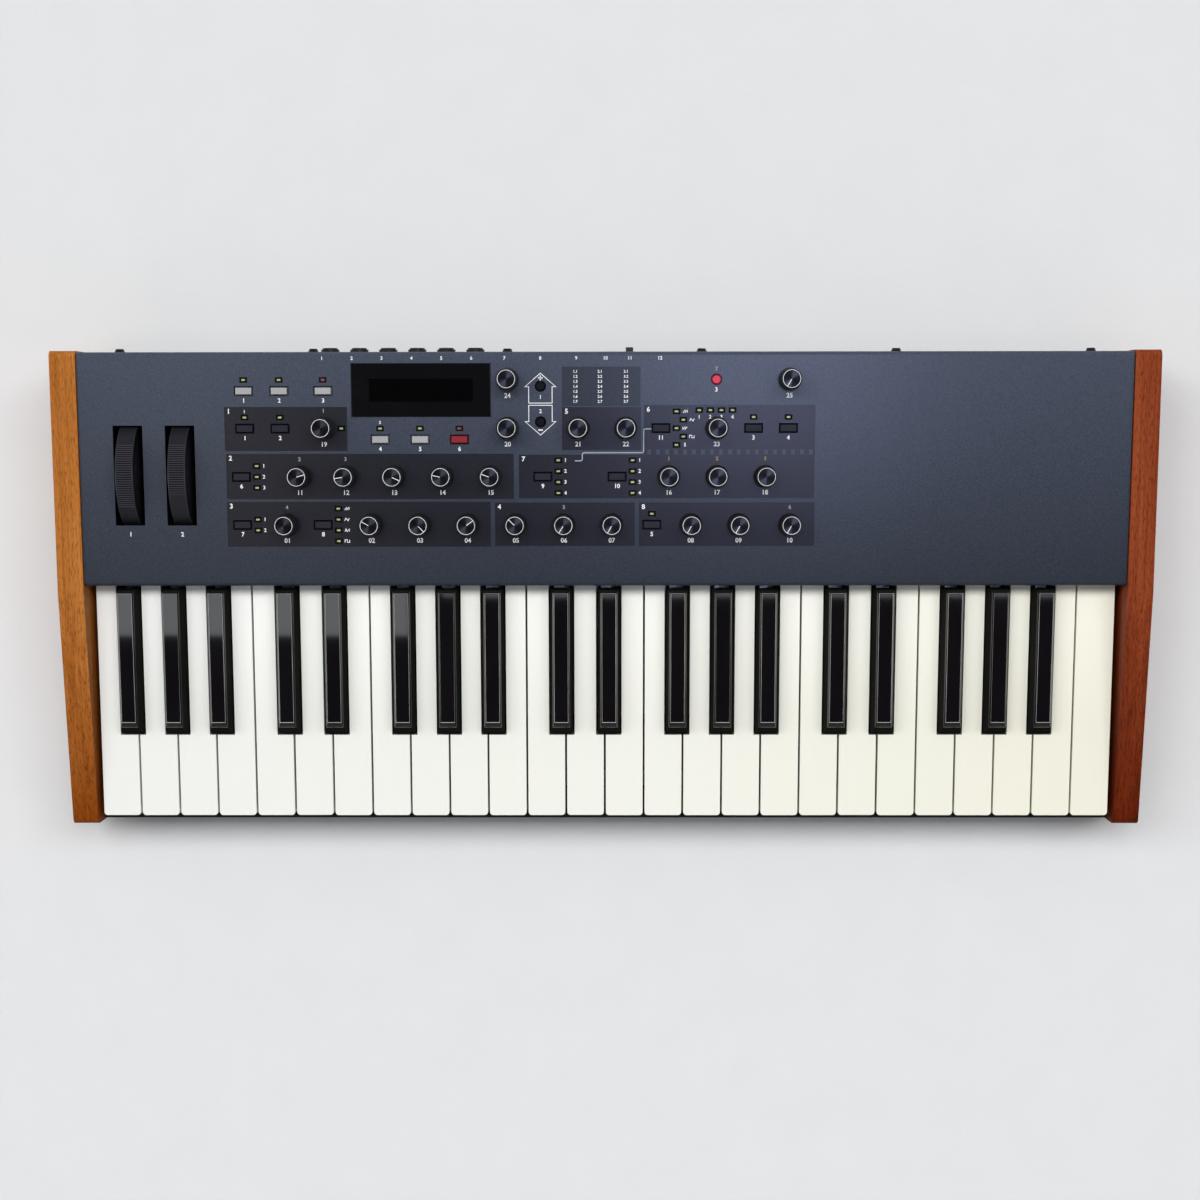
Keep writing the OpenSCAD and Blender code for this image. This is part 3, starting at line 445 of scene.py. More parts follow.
def crisp_shading(limit):
    """Geometry nodes that shade a mesh smooth, with the edges that bend more than the limit left sharp."""
    group = bpy.data.node_groups.new("crisp_shading", "GeometryNodeTree")
    group.interface.new_socket("Geometry", in_out="INPUT", socket_type="NodeSocketGeometry")
    group.interface.new_socket("Geometry", in_out="OUTPUT", socket_type="NodeSocketGeometry")
    whole = add(group, "NodeGroupInput").outputs[0]
    bend = add(group, "GeometryNodeInputMeshEdgeAngle").outputs["Unsigned Angle"]
    sharp = add(group, "FunctionNodeCompare", {0: bend, 1: limit}, operation="GREATER_THAN").outputs[0]
    links = {"Mesh": whole, "Remove Custom": True, "Edge Sharpness": sharp}
    shaded = add(group, "GeometryNodeSetMeshNormal", links, mode="SHARPNESS")
    group.links.new(shaded.outputs[0], add(group, "NodeGroupOutput").inputs[0])
    return group


CRISP = crisp_shading(CRISP_ANGLE)


def soften(node, width, segments=3):
    """Welds a CAD node's loose triangles, clears flat faces of inner edges and rounds sharp edges."""
    piece = NODES[node]
    weld = piece.modifiers.new("weld", "WELD")
    weld.merge_threshold = 1e-6
    flat = piece.modifiers.new("flat", "DECIMATE")
    flat.decimate_type = "DISSOLVE"
    flat.angle_limit = FLAT_ANGLE
    edge = piece.modifiers.new("edge", "BEVEL")
    edge.width = width
    edge.segments = segments
    edge.limit_method = "ANGLE"
    edge.angle_limit = ROUNDED_ANGLE
    shading = piece.modifiers.new("shading", "NODES")
    shading.node_group = CRISP
    even = piece.modifiers.new("even", "WEIGHTED_NORMAL")
    even.keep_sharp = True


for part in SUBPARTS:
    if part["node"] in NODES and part["material_slot"] in SLOT_FINISH:
        paint(NODES[part["node"]], SLOT_FINISH[part["material_slot"]])
paint(NODES["left_cheek"], cheek_left)
paint(NODES["right_cheek"], cheek_right)
paint(NODES["step_buttons"], step_cap)

for part in SUBPARTS:
    if part["material_slot"] in KEY_EDGE:
        soften(part["node"], KEY_EDGE[part["material_slot"]])
for cheek in ("left_cheek", "right_cheek"):
    soften(cheek, CHEEK_EDGE, 4)
for caps in ("light_buttons", "dark_buttons", "red_buttons", "step_buttons", "power_switch"):
    soften(caps, CAP_EDGE, 2)
soften("display_window", WINDOW_EDGE, 2)


# Surfaces: a patch is vertices in metres, faces, a material index and a map

TURN_MAP = 6 * MM


def make_piece(name, patches, materials, body):
    """A mesh piece from patches one after another, with their maps; it rides on one body."""
    mesh = bpy.data.meshes.new(name)
    start = 0
    points, corners, sizes, index, maps = [], [], [], [], []
    for verts, faces, material, uv in patches:
        points.append(verts)
        corners.append(faces.ravel() + start)
        sizes.append(np.full(len(faces), faces.shape[1]))
        index.append(np.full(len(faces), material))
        maps.append(uv[faces.ravel()])
        start += len(verts)
    points = np.concatenate(points)
    corners = np.concatenate(corners)
    sizes = np.concatenate(sizes)
    mesh.vertices.add(len(points))
    mesh.vertices.foreach_set("co", points.ravel())
    mesh.loops.add(len(corners))
    mesh.loops.foreach_set("vertex_index", corners)
    mesh.polygons.add(len(sizes))
    mesh.polygons.foreach_set("loop_start", np.concatenate([[0], np.cumsum(sizes)[:-1]]))
    mesh.uv_layers.new(name="turning").data.foreach_set("uv", np.concatenate(maps).ravel())
    piece = bpy.data.objects.new(name, mesh)
    bpy.context.scene.collection.objects.link(piece)
    paint(piece, *materials)
    mesh.polygons.foreach_set("material_index", np.concatenate(index))
    mesh.polygons.foreach_set("use_smooth", np.zeros(len(sizes), bool))
    mesh.update(calc_edges=True)
    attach(piece, body)
    return piece


def smooth(piece, angle=40):
    """Smooth shading, with edges sharper than the angle left sharp."""
    piece.data.polygons.foreach_set("use_smooth", np.ones(len(piece.data.polygons), bool))
    piece.data.set_sharp_from_angle(angle=math.radians(angle))


def grid_faces(rows, columns):
    """Quads between neighbouring rows and columns of a grid, its last column joined to the first."""
    i, j = np.meshgrid(np.arange(rows - 1), np.arange(columns), indexing="ij")
    k = (j + 1) % columns
    corners = [i * columns + j, i * columns + k, (i + 1) * columns + k, (i + 1) * columns + j]
    return np.stack(corners, -1).reshape(-1, 4)


def around_axis(turns):
    """Even angles once round, without the last that meets the first."""
    return np.linspace(0, 2 * np.pi, turns, endpoint=False)


def turned_patch(centre, radii, heights, turns, material):
    """A profile of radius and height carried round an upright axis; radii may be given per angle."""
    angle = around_axis(turns)
    radii = np.asarray(radii, float)
    radius = radii if radii.ndim == 2 else np.repeat(radii[:, None], turns, 1)
    height = np.repeat(np.asarray(heights, float)[:, None], turns, 1)
    verts = np.stack([radius * np.cos(angle), radius * np.sin(angle), height], -1).reshape(-1, 3) * MM
    return verts + centre, grid_faces(len(heights), turns), material, verts[:, :2] / TURN_MAP


def disc_patch(centre, radius, height, turns, material, up=True):
    """A level disc about an upright axis: one face, its corners in turn, seen from above or from below."""
    angle = around_axis(turns)
    verts = np.stack([radius * np.cos(angle), radius * np.sin(angle), np.full(turns, height)], -1) * MM
    face = np.arange(turns)[None, :] if up else np.arange(turns)[None, ::-1]
    return verts + centre, face, material, verts[:, :2] / TURN_MAP


def slab_patch(centre, outline, low, high, material):
    """A flat plate: a convex outline of four points at a low and a high level, closed all round."""
    verts = np.concatenate([np.c_[outline, np.full(4, low)], np.c_[outline, np.full(4, high)]]) * MM
    faces = np.array([[3, 2, 1, 0], [4, 5, 6, 7], [0, 1, 5, 4], [1, 2, 6, 5], [2, 3, 7, 6], [3, 0, 4, 7]])
    return verts + centre, faces, material, np.zeros((8, 2))


def rectangle(half_u, half_v):
    """Four corners of a rectangle about the origin, counter-clockwise."""
    return np.array([(-1, -1), (1, -1), (1, 1), (-1, 1)]) * [half_u, half_v]


# Knobs: node, place along the panel, row, and the pointer's angle where there is one

KNOBS = [
    ("knob_osc_pitch", 121.7, 0, None), ("knob_pulse_width", 171.5, 0, 150), ("knob_glide", 200, 0, -45),
    ("knob_sub_level", 228.2, 0, 36), ("knob_osc_mix", 256.6, 0, 135), ("knob_feedback", 285, 0, 238),
    ("knob_noise", 313.2, 0, 240), ("knob_cutoff", 359.8, 0, 240), ("knob_resonance", 388, 0, 240),
    ("knob_audio_mod", 418, 0, 240), ("knob_env_amount", 129.7, 1, 18), ("knob_attack", 156.8, 1, 189),
    ("knob_decay", 185.2, 1, -24), ("knob_sustain", 213.6, 1, 168), ("knob_release", 242, 1, 159),
    ("knob_mod_source", 346.7, 1, None), ("knob_mod_target", 375, 1, None),
    ("knob_mod_amount", 403.2, 1, None), ("knob_tempo", 144.3, 2, None), ("knob_param_2", 252.2, 2, None),
    ("knob_misc_select", 293.6, 2, None), ("knob_misc_value", 321.5, 2, None),
    ("knob_lfo_rate", 374.8, 2, None), ("knob_param_1", 252.2, 3, None), ("knob_volume", 417.1, 3, 240),
]
KNOB_H = 15.5
BORE_R = 2.9
# Radius and height of the skirt, from the bore's mouth up to the ring
SKIRT = [
    [BORE_R, 0.5], [6.3, 0.5], [6.65, 0.7], [6.7, 1.0], [6.7, 2.6], [6.66, 3.1], [6.55, 3.6],
    [6.42, 5.6], [6.28, 8.0], [6.14, 10.4], [6.0, 13.0], [5.94, 14.0], [5.86, 14.7], [5.72, 15.1],
    [5.5, 15.3], [5.2, 15.34],
]
FLUTES, FLUTE_STEPS, FLUTE_DEPTH, FLUTE_LOW, FLUTE_HIGH = 30, 5, 0.22, 3.0, 14.4
RING_R, RING_RISE, RING_TURNS, BEAD_STEPS = 5.25, 0.3, 96, 9
DISC_R, DISC_SINK = 4.88, 0.27
POINTER_START, POINTER_HALF, POINTER_LEVELS = 0.35, 0.2, (KNOB_H - 0.3, KNOB_H - 0.2)


def knob_piece(name, pointer):
    """A knob turned about its axis: a skirt whose radius dips at each flute by the square of a cosine's
    upper half, a bright bead of half a sine wave at the rim, a sunk disc and, on some, a pointer bar."""
    low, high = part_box(name)
    centre = np.array([(low.x + high.x) / 2, (low.y + high.y) / 2, PANEL_TOP])
    bore_top = (low.z - PANEL_TOP) / MM
    turns = FLUTES * FLUTE_STEPS
    rows = np.array([[BORE_R, bore_top]] + SKIRT)
    grip = np.clip(rows[:, 1] - FLUTE_LOW, 0, 1) * np.clip(FLUTE_HIGH - rows[:, 1], 0, 1)
    groove = np.maximum(0, np.cos(FLUTES * around_axis(turns))) ** 2
    radii = rows[:, :1] - FLUTE_DEPTH * grip[:, None] * groove[None, :]
    bead = np.linspace(0, np.pi, BEAD_STEPS)
    ring = (RING_R + DISC_R) / 2 + (RING_R - DISC_R) / 2 * np.cos(bead)
    patches = [
        turned_patch(centre, radii, rows[:, 1], turns, 0),
        turned_patch(centre, ring, KNOB_H - RING_RISE + RING_RISE * np.sin(bead), RING_TURNS, 1),
        disc_patch(centre, DISC_R, KNOB_H - DISC_SINK, RING_TURNS, 2),
        disc_patch(centre, BORE_R, bore_top, turns, 0, up=False),
    ]
    if pointer is not None:
        turn = math.radians(pointer)
        spin = np.array([[math.cos(turn), math.sin(turn)], [-math.sin(turn), math.cos(turn)]])
        reach = (DISC_R - POINTER_START) / 2
        bar = (rectangle(reach, POINTER_HALF) + [POINTER_START + reach, 0]) @ spin
        patches.append(slab_patch(centre, bar, *POINTER_LEVELS, 3))
    finishes = (knob_rubber, ring_metal, disc_metal, pointer_paint)
    piece = make_piece(name + "_turned", patches, finishes, name)
    smooth(piece)
    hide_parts(name)


for knob, _, _, pointer in KNOBS:
    knob_piece(knob, pointer)


# Wheels

RIB_PITCH, RIB_DEPTH, RIB_STEPS, RIB_FADE = 1.35, 0.6, 8, 0.02
RIM_HALF, RIM_ROUND = 5.2, 0.7
TREAD_HALF = RIM_HALF - RIM_ROUND
# How far off the middle the tread's points lie, and where across it the ribs run out
TREAD_ROWS = (TREAD_HALF - 0.05, TREAD_HALF - 0.2, 2.1)
RIB_HALF, RIB_SLOPE = TREAD_HALF - 0.02, 0.15
AXLE_R = 3.0
# Radius and half width of the web's sunk band, from the axle out to the rim
WEB = [[24.0, RIM_HALF], [24.6, 5.0], [28.6, 5.0], [29.2, RIM_HALF]]
# How far in from the tread the rim counts as tread or as rounded edge, and how strongly a highlight is
# painted on that edge
TREAD_BAND, EDGE_BAND, EDGE_HIGHLIGHT = 0.1, 0.6, 0.6


def wheel_piece(name, ribbed):
    """A wheel turned about X: axle, web and a rim with rounded edges. Between two angles the tread's radius
    dips into grooves, by the square of a raised cosine for each rib."""
    low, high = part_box(name)
    centre = np.array((low + high) / 2)
    radius = (high.z - low.z) / 2 / MM
    axle_half = (high.x - low.x) / 2 / MM
    ribs = int(round(2 * math.pi * radius / RIB_PITCH))
    turns = ribs * RIB_STEPS
    angle = around_axis(turns) - np.pi
    arc = np.radians(np.linspace(0, 90, 5))
    edge = np.c_[radius - RIM_ROUND + RIM_ROUND * np.sin(arc), TREAD_HALF + RIM_ROUND * np.cos(arc)]
    tread = [[radius, off] for off in TREAD_ROWS]
    half = np.concatenate([[[AXLE_R, axle_half], [AXLE_R, RIM_HALF]], WEB, edge, tread])
    rows = np.concatenate([half, [[radius, 0.0]], half[::-1] * [1, -1]])
    side = np.abs(rows[:, 1])
    on_tread = rows[:, 0] > radius - TREAD_BAND
    across = (np.clip((RIB_HALF - side) / RIB_SLOPE, 0, 1) * on_tread)[:, None]
    inside = np.clip((angle - ribbed[0]) / RIB_FADE, 0, 1) * np.clip((ribbed[1] - angle) / RIB_FADE, 0, 1)
    wave = (0.5 - 0.5 * np.cos(ribs * angle)) ** 2
    groove = across * inside * wave
    radii = rows[:, :1] - RIB_DEPTH * groove
    x = np.repeat(rows[:, 1:], turns, 1)
    verts = np.stack([x, radii * np.sin(angle), radii * np.cos(angle)], -1).reshape(-1, 3) * MM + centre
    # The map carries a painted highlight on the rib crests and the rounded edges, and painted shade in the
    # grooves
    rounded_edge = ((side > TREAD_HALF) & (rows[:, 0] > radius - EDGE_BAND))[:, None]
    crest_highlight = np.maximum(across * inside * (1 - wave), EDGE_HIGHLIGHT * rounded_edge)
    uv = np.stack([crest_highlight, groove], -1).reshape(-1, 2)
    ring = np.arange(turns)[None, :]
    patches = [(verts, grid_faces(len(rows), turns), 0, uv), (verts[-turns:], ring, 0, uv[-turns:]),
               (verts[:turns], ring[:, ::-1], 0, uv[:turns])]
    piece = make_piece(name + "_ribbed", patches, (wheel_plastic,), name)
    smooth(piece)
    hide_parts(name)


# The ribbed part of each wheel, as angles from its top
wheel_piece("pitch_wheel", (-0.62, 0.62))
wheel_piece("mod_wheel", (-0.35, 0.62))


# Places of buttons, lights and printed blocks on the panel

LED_SIDE, LED_PITCH = 9.1, 6.35
BAR_HALF, LIGHT_HALF = (5.25, 2.55), (1.9, 1.25)
# Width of the painted gap shade round each opening
GAP_SHADE_W = 0.32
ROUND_BUTTON_R = 3.0
STEP_U, STEP_RISES = 271.5, (24.3, 3.7)
WAVE_PITCH, WAVE_ZIGZAG = 4.85, 4
RATE_U, RATE_PITCH, RATE_RISE = 374.1, 6.5, 10.4
TOP_BARS = [(u, ROW_V[3] - LED_RISE) for u in (97.8, 118.6, 144.3)]
TOP_BARS += [(u, ROW_V[2] - LED_RISE) for u in (177.4, 200.8, 223.9)]
LIT_BARS = [(98, ROW_V[2]), (118.7, ROW_V[2]), (396.2, ROW_V[2]), (416.6, ROW_V[2]), (336.8, ROW_V[0])]
# Bars with a column of lights at their right: place and number of lights
SHAPE_BAR = (142.9, ROW_V[0], 4)
COLUMN_BARS = [(95.3, ROW_V[1], 3), (95.3, ROW_V[0], 2), SHAPE_BAR]
COLUMN_BARS += [(272.7, ROW_V[1], 4), (316.3, ROW_V[1], 4)]
WAVE_BAR = (342, ROW_V[2])
LOWER_BARS = LIT_BARS + [bar[:2] for bar in COLUMN_BARS] + [WAVE_BAR]
ROUND_BUTTONS = [TAP] + [(STEP_U, ROW_V[2] + rise) for rise in STEP_RISES]


def column_places(u, v, count):
    """Places of a column of lights centred beside a bar, from the front to the back."""
    return [(u + LED_SIDE, v + (k - (count - 1) / 2) * LED_PITCH) for k in range(count)]


WAVE_LIGHTS = [(WAVE_BAR[0] + LED_SIDE + WAVE_ZIGZAG * (k % 2), ROW_V[2] + (k - 2) * WAVE_PITCH)
               for k in range(5)]
RATE_LIGHTS = [(RATE_U + (k - 1.5) * RATE_PITCH, ROW_V[2] + RATE_RISE) for k in range(4)]
TEMPO_LIGHT = (154.7, ROW_V[2])
LIGHTS = [(u, v + LED_RISE) for u, v in TOP_BARS + LIT_BARS]
LIGHTS += [at for bar in COLUMN_BARS for at in column_places(*bar)]
LIGHTS += WAVE_LIGHTS + RATE_LIGHTS + [TEMPO_LIGHT]
OPENINGS = [(*at, *BAR_HALF) for at in TOP_BARS + LOWER_BARS] + [(*at, *LIGHT_HALF) for at in LIGHTS]

# Blocks as left, front, right and back
BLOCKS = [
    (86.1, 79.2, 158.1, 104.7), (86.5, 51.1, 255.6, 77.5), (86.3, 23.2, 241.8, 49.5),
    (244.4, 23.6, 326.7, 49.0), (284.1, 79.5, 330.3, 104.5), (332.0, 79.8, 432.3, 105.6),
    (258.7, 51.5, 432.1, 76.9), (329.2, 23.5, 432.5, 49.0),
]
LIST_BLOCK = (284.1, 105.0, 330.0, 127.7)


# Print on the panel: ink levels in millimetres above it

INK = 0.06
OVERPRINT = 2 * INK
UNDERPRINT_FILM, SIGN_FILM = 0.9 * INK, 0.9 * OVERPRINT
INK_MAP = 0.01
MITRE_LIMIT, CURVE_STEPS = 0.35, 6
TEXT_SIZE, TEXT_BOLD, TEXT_STEPS = 1.4, 0.034, 3


def block_cells(rect):
    """Cells of a rectangle split along the sides of the openings in it, without those over an opening."""
    left, front, right, back = rect
    holes = np.array([h for h in OPENINGS if left < h[0] < right and front < h[1] < back]).reshape(-1, 4)
    hole_u, hole_v, half_u, half_v = holes.T
    us = np.unique(np.r_[left, right, hole_u - half_u, hole_u + half_u].clip(left, right))
    vs = np.unique(np.r_[front, back, hole_v - half_v, hole_v + half_v].clip(front, back))
    mid_u, mid_v = (us[1:] + us[:-1]) / 2, (vs[1:] + vs[:-1]) / 2
    over_u = np.abs(mid_u[:, None, None] - hole_u) < half_u
    over_v = np.abs(mid_v[None, :, None] - hole_v) < half_v
    keep_u, keep_v = np.nonzero(~(over_u & over_v).any(-1))
    corners = [(0, 0), (1, 0), (1, 1), (0, 1)]
    return np.stack([np.stack([us[keep_u + a], vs[keep_v + b]], -1) for a, b in corners], 1)


def stroke_cells(points, width, closed=False):
    """Quads along a line of points: each point is moved sideways along the mitre of its two segments."""
    points = np.asarray(points, float)
    ahead = np.roll(points, -1, 0) - points
    behind = points - np.roll(points, 1, 0)
    if not closed:
        ahead[-1] = behind[-1]
        behind[0] = ahead[0]
    ahead /= np.linalg.norm(ahead, axis=1, keepdims=True)
    behind /= np.linalg.norm(behind, axis=1, keepdims=True)
    side = np.stack([-(ahead + behind)[:, 1], (ahead + behind)[:, 0]], -1)
    normal = np.stack([-ahead[:, 1], ahead[:, 0]], -1)
    side *= width / 2 / np.maximum(MITRE_LIMIT, (side * normal).sum(1, keepdims=True))
    a, b = points + side, points - side
    first = np.arange(len(points) if closed else len(points) - 1)
    last = (first + 1) % len(points)
    return np.stack([b[first], b[last], a[last], a[first]], 1)


def rounded(points, radius):
    """A line of points with each inner corner turned into a curve that starts and ends a radius from it."""
    points = np.asarray(points, float)
    corner, before, after = points[1:-1], points[:-2], points[2:]
    start = corner + radius * (before - corner) / np.linalg.norm(before - corner, axis=1, keepdims=True)
    end = corner + radius * (after - corner) / np.linalg.norm(after - corner, axis=1, keepdims=True)
    t = np.linspace(0, 1, CURVE_STEPS)[None, :, None]
    curve = (1 - t) ** 2 * start[:, None] + 2 * t * (1 - t) * corner[:, None] + t ** 2 * end[:, None]
    return np.concatenate([points[:1], curve.reshape(-1, 2), points[-1:]])


def number_cells(items):
    """Numbers as flat triangles: each text is a filled font curve, scaled to its height and centred."""
    tris = []
    for text, u, v, height in items:
        curve = bpy.data.curves.new("number", "FONT")
        curve.body = text
        curve.size = height * TEXT_SIZE
        curve.offset = height * TEXT_BOLD
        curve.align_x, curve.align_y = "CENTER", "CENTER"
        curve.resolution_u = TEXT_STEPS
        holder = bpy.data.objects.new("number", curve)
        mesh = holder.to_mesh()
        mesh.calc_loop_triangles()
        points = np.empty(len(mesh.vertices) * 3)
        mesh.vertices.foreach_get("co", points)
        corners = np.empty(len(mesh.loop_triangles) * 3, int)
        mesh.loop_triangles.foreach_get("vertices", corners)
        tris.append(points.reshape(-1, 3)[corners, :2].reshape(-1, 3, 2) + [u, v])
        holder.to_mesh_clear()
        bpy.data.objects.remove(holder)
        bpy.data.curves.remove(curve)
    return tris


def ink_piece(name, cells, material, level=INK, thickness=UNDERPRINT_FILM):
    """Printed ink: cells of panel places, joined where they meet, as an even film below a level."""
    cells = np.concatenate(cells)
    unique, index = np.unique(cells.reshape(-1, 2).round(5), axis=0, return_inverse=True)
    verts = np.c_[unique * MM + [PANEL_LEFT, PANEL_FRONT], np.full(len(unique), PANEL_TOP + level * MM)]
    patch = (verts, index.reshape(len(cells), -1), 0, unique * INK_MAP)
    piece = make_piece(name, [patch], (material,), "chassis")
    film = piece.modifiers.new("film", "SOLIDIFY")
    film.thickness = thickness * MM
    film.offset = -1


ink_piece("panel_blocks", [block_cells(block) for block in BLOCKS], block_ink)

# A strip between two blocks, broken by a row of bare squares
STRIP_U, STRIP_V = (332.0, 432.3), (76.95, 79.75)
SQUARE, SQUARE_START, SQUARE_PITCH, SQUARE_COUNT = 2.2, 335.1, 5.27, 19
squares = SQUARE_START + SQUARE_PITCH * np.arange(SQUARE_COUNT)
starts = np.r_[STRIP_U[0], squares + SQUARE / 2]
ends = np.r_[squares - SQUARE / 2, STRIP_U[1]]
front, back = (np.full(len(starts), v) for v in STRIP_V)
strip = [np.stack(corner, -1) for corner in ((starts, front), (ends, front), (ends, back), (starts, back))]
ink_piece("panel_strip", [np.stack(strip, 1)], block_ink)
ink_piece("panel_list", [block_cells(LIST_BLOCK)], list_ink)

# The line that links a light to the block behind it
LINK = [(291.6, 73.3), (295.9, 73.3), (295.9, 78.0), (331.9, 78.0), (331.9, 91.8), (336.4, 91.8)]
LINK_W, LINK_ROUND = 0.55, 1.3
ink_piece("panel_link", [stroke_cells(rounded(LINK, LINK_ROUND), LINK_W)], link_ink, OVERPRINT, SIGN_FILM)

# Arrows round the two step buttons, with a plus and a minus, and the wave signs beside the lights
ARROW = np.array([(0, 17.2), (9, 9.4), (6.85, 9.4), (6.85, 0), (-6.85, 0), (-6.85, 9.4), (-9, 9.4)])
ARROW_W, SIGN_W, SIGN_HALF = 0.45, 0.7, 1.4
UP_V, DOWN_V, PLUS_V, MINUS_V = 106.8, 105.5, 121.3, 91.2
WAVE_W, WAVE_SCALE, WAVE_SIDE = 0.42, 0.75, 5.0
WAVES = {
    "saw": [(-1.7, -1), (0, 1), (0, -1), (1.7, 1), (1.7, -1)],
    "triangle": [(-1.8, -1), (-0.9, 1), (0.9, -1), (1.8, 1)],
    "mixed": [(-1.8, -1), (-0.9, 1), (0, -1), (1.7, 1), (1.7, -1)],
    "square": [(-1.8, -1), (-1.8, 1), (0, 1), (0, -1), (1.8, -1), (1.8, 1)],
    "ramp": [(-1.7, 1), (-1.7, -1), (0, 1), (0, -1), (1.7, 1)],
}


def wave_signs(kinds, lights):
    """Printed wave signs, one at the right of each light."""
    return [stroke_cells(np.array(WAVES[kind]) * WAVE_SCALE + [u + WAVE_SIDE, v], WAVE_W)
            for kind, (u, v) in zip(kinds, lights)]


level_bar = np.array([(-SIGN_HALF, 0), (SIGN_HALF, 0)])
signs = [stroke_cells(outline, ARROW_W, True)
         for outline in (ARROW + [STEP_U, UP_V], ARROW * [1, -1] + [STEP_U, DOWN_V])]
signs += [stroke_cells(bar + [STEP_U, v], SIGN_W)
          for bar, v in ((level_bar, PLUS_V), (level_bar[:, ::-1], PLUS_V), (level_bar, MINUS_V))]
signs += wave_signs(("square", "mixed", "triangle", "saw"), column_places(*SHAPE_BAR))
signs += wave_signs(("square", "ramp", "triangle", "saw"), WAVE_LIGHTS[1:])
ink_piece("panel_signs", signs, white_ink, OVERPRINT, SIGN_FILM)

HEART_HALF, HEART_LEVELS = (1.0, 0.52), (0.0, 0.2)
hearts = [slab_patch(np.array(place(*at)), rectangle(*HEART_HALF), *HEART_LEVELS, 0) for at in LIGHTS]
heart_resin = light_resin("light_heart", RED_LIGHTS, (0.40, 0.44, 0.17), (0.13, 0.012, 0.016), 0.35)
make_piece("light_hearts", hearts, (heart_resin,), "chassis")

# Painted shade: near-black rings round every opening and round button, where the gap lies in shadow
gap_shades = [stroke_cells(rectangle(half_u + GAP_SHADE_W / 2, half_v + GAP_SHADE_W / 2) + [u, v], GAP_SHADE_W, True)
          for u, v, half_u, half_v in OPENINGS]
round_angle = around_axis(32)
circle = np.stack([np.cos(round_angle), np.sin(round_angle)], -1) * (ROUND_BUTTON_R + GAP_SHADE_W / 2)
gap_shades += [stroke_cells(circle + at, GAP_SHADE_W, True) for at in ROUND_BUTTONS]
ink_piece("button_gap_shade", gap_shades, painted_gap_shade)

# Plain numbers: text, place and height
KNOB_TEXT, BAR_TEXT, LIGHT_TEXT, WHEEL_TEXT, REAR_TEXT = 2.7, 2.5, 2.1, 2.6, 2.0
LIST_TEXT, BLOCK_TEXT, SECOND_TEXT, GROUP_TEXT, TAP_TEXT = 1.6, 2.8, 2.2, 1.7, 2.3
WHEEL_PLACES, GROUP_PLACES = [(29, 30.4), (59.6, 30.4)], [(98.0, 102.0), (177.4, 95.6)]
STEP_PLACES = [(STEP_U, 110.2), (STEP_U, 102.0)]
TAP_FRONT_V, TAP_BACK_V, REAR_V, BLOCK_INSET = 114.4, 126.3, 132.6, 2.6
REAR_U = [144 + 17.45 * k for k in range(6)] + [250.5, 271.5, 292.5, 309.5, 323.8, 341.3]
LIST_U, LIST_V, LIST_PITCH, LIST_LINES = (291.9, 306.3, 321.5), 124.9, 2.88, 7
KNOB_DROP, BAR_DROP, LIGHT_DROP, LIGHT_SIDE = 9.3, 5.6, 4.0, 4.2
OVER_KNOB, OVER_GOLD = 10.2, 10.4
GOLD_U = (346.7, 375, 403.2)
# Place along the panel and row of the knobs that have a second use
SECOND_USES = ((144.3, 2), (129.7, 1), (156.8, 1), (121.7, 0), (285, 0), (418, 0))


def counted(places, height, du=0.0, dv=0.0):
    """Numbers from 1 on at places moved by du and dv."""
    return [(str(i + 1), u + du, v + dv, height) for i, (u, v) in enumerate(places)]


numbers = [(f"{i + 1:02d}", u, ROW_V[row] - KNOB_DROP, KNOB_TEXT)
           for i, (_, u, row, _) in enumerate(KNOBS)]
numbers += counted(TOP_BARS, BAR_TEXT, dv=-BAR_DROP) + counted(LOWER_BARS, BAR_TEXT, dv=-BAR_DROP)
for bar in COLUMN_BARS:
    if bar != SHAPE_BAR:
        numbers += counted(column_places(*bar)[::-1], LIGHT_TEXT, du=LIGHT_SIDE)
numbers += counted(RATE_LIGHTS, LIGHT_TEXT, dv=-LIGHT_DROP)
numbers += counted(WHEEL_PLACES, WHEEL_TEXT)
numbers += counted([(u, REAR_V) for u in REAR_U], REAR_TEXT)
numbers += [(f"{column + 1}.{line + 1}", u, LIST_V - LIST_PITCH * line, LIST_TEXT)
            for column, u in enumerate(LIST_U) for line in range(LIST_LINES)]
numbers += counted([(left, back) for left, _, _, back in BLOCKS], BLOCK_TEXT, BLOCK_INSET, -BLOCK_INSET)
numbers += counted(STEP_PLACES, SECOND_TEXT) + [("3", TAP[0], TAP_FRONT_V, BAR_TEXT)]
numbers += counted(GROUP_PLACES, GROUP_TEXT)
numbers += [("5", WAVE_LIGHTS[0][0] + WAVE_SIDE, WAVE_LIGHTS[0][1], LIGHT_TEXT)]
gold_numbers = counted([(u, ROW_V[1] + OVER_GOLD) for u in GOLD_U], SECOND_TEXT)
grey_numbers = counted([(u, ROW_V[row] + OVER_KNOB) for u, row in SECOND_USES], SECOND_TEXT)
grey_numbers += [("7", TAP[0], TAP_BACK_V, TAP_TEXT)]
ink_piece("panel_numbers", number_cells(numbers), white_ink, OVERPRINT, INK)
ink_piece("panel_gold_numbers", number_cells(gold_numbers), gold_ink, OVERPRINT, INK)
ink_piece("panel_grey_numbers", number_cells(grey_numbers), grey_ink, OVERPRINT, INK)


# Floor, light and camera

EYE_AT = (0.00614, 0.0905, 1.3194)
EYE_ROLL, EYE_TILT, EYE_PAN = 0.0011, 0.1511, -0.0072
FLOOR_HALF = 6.0
LAMP_Z = 2.0
COOL = (0.93, 0.97, 1)
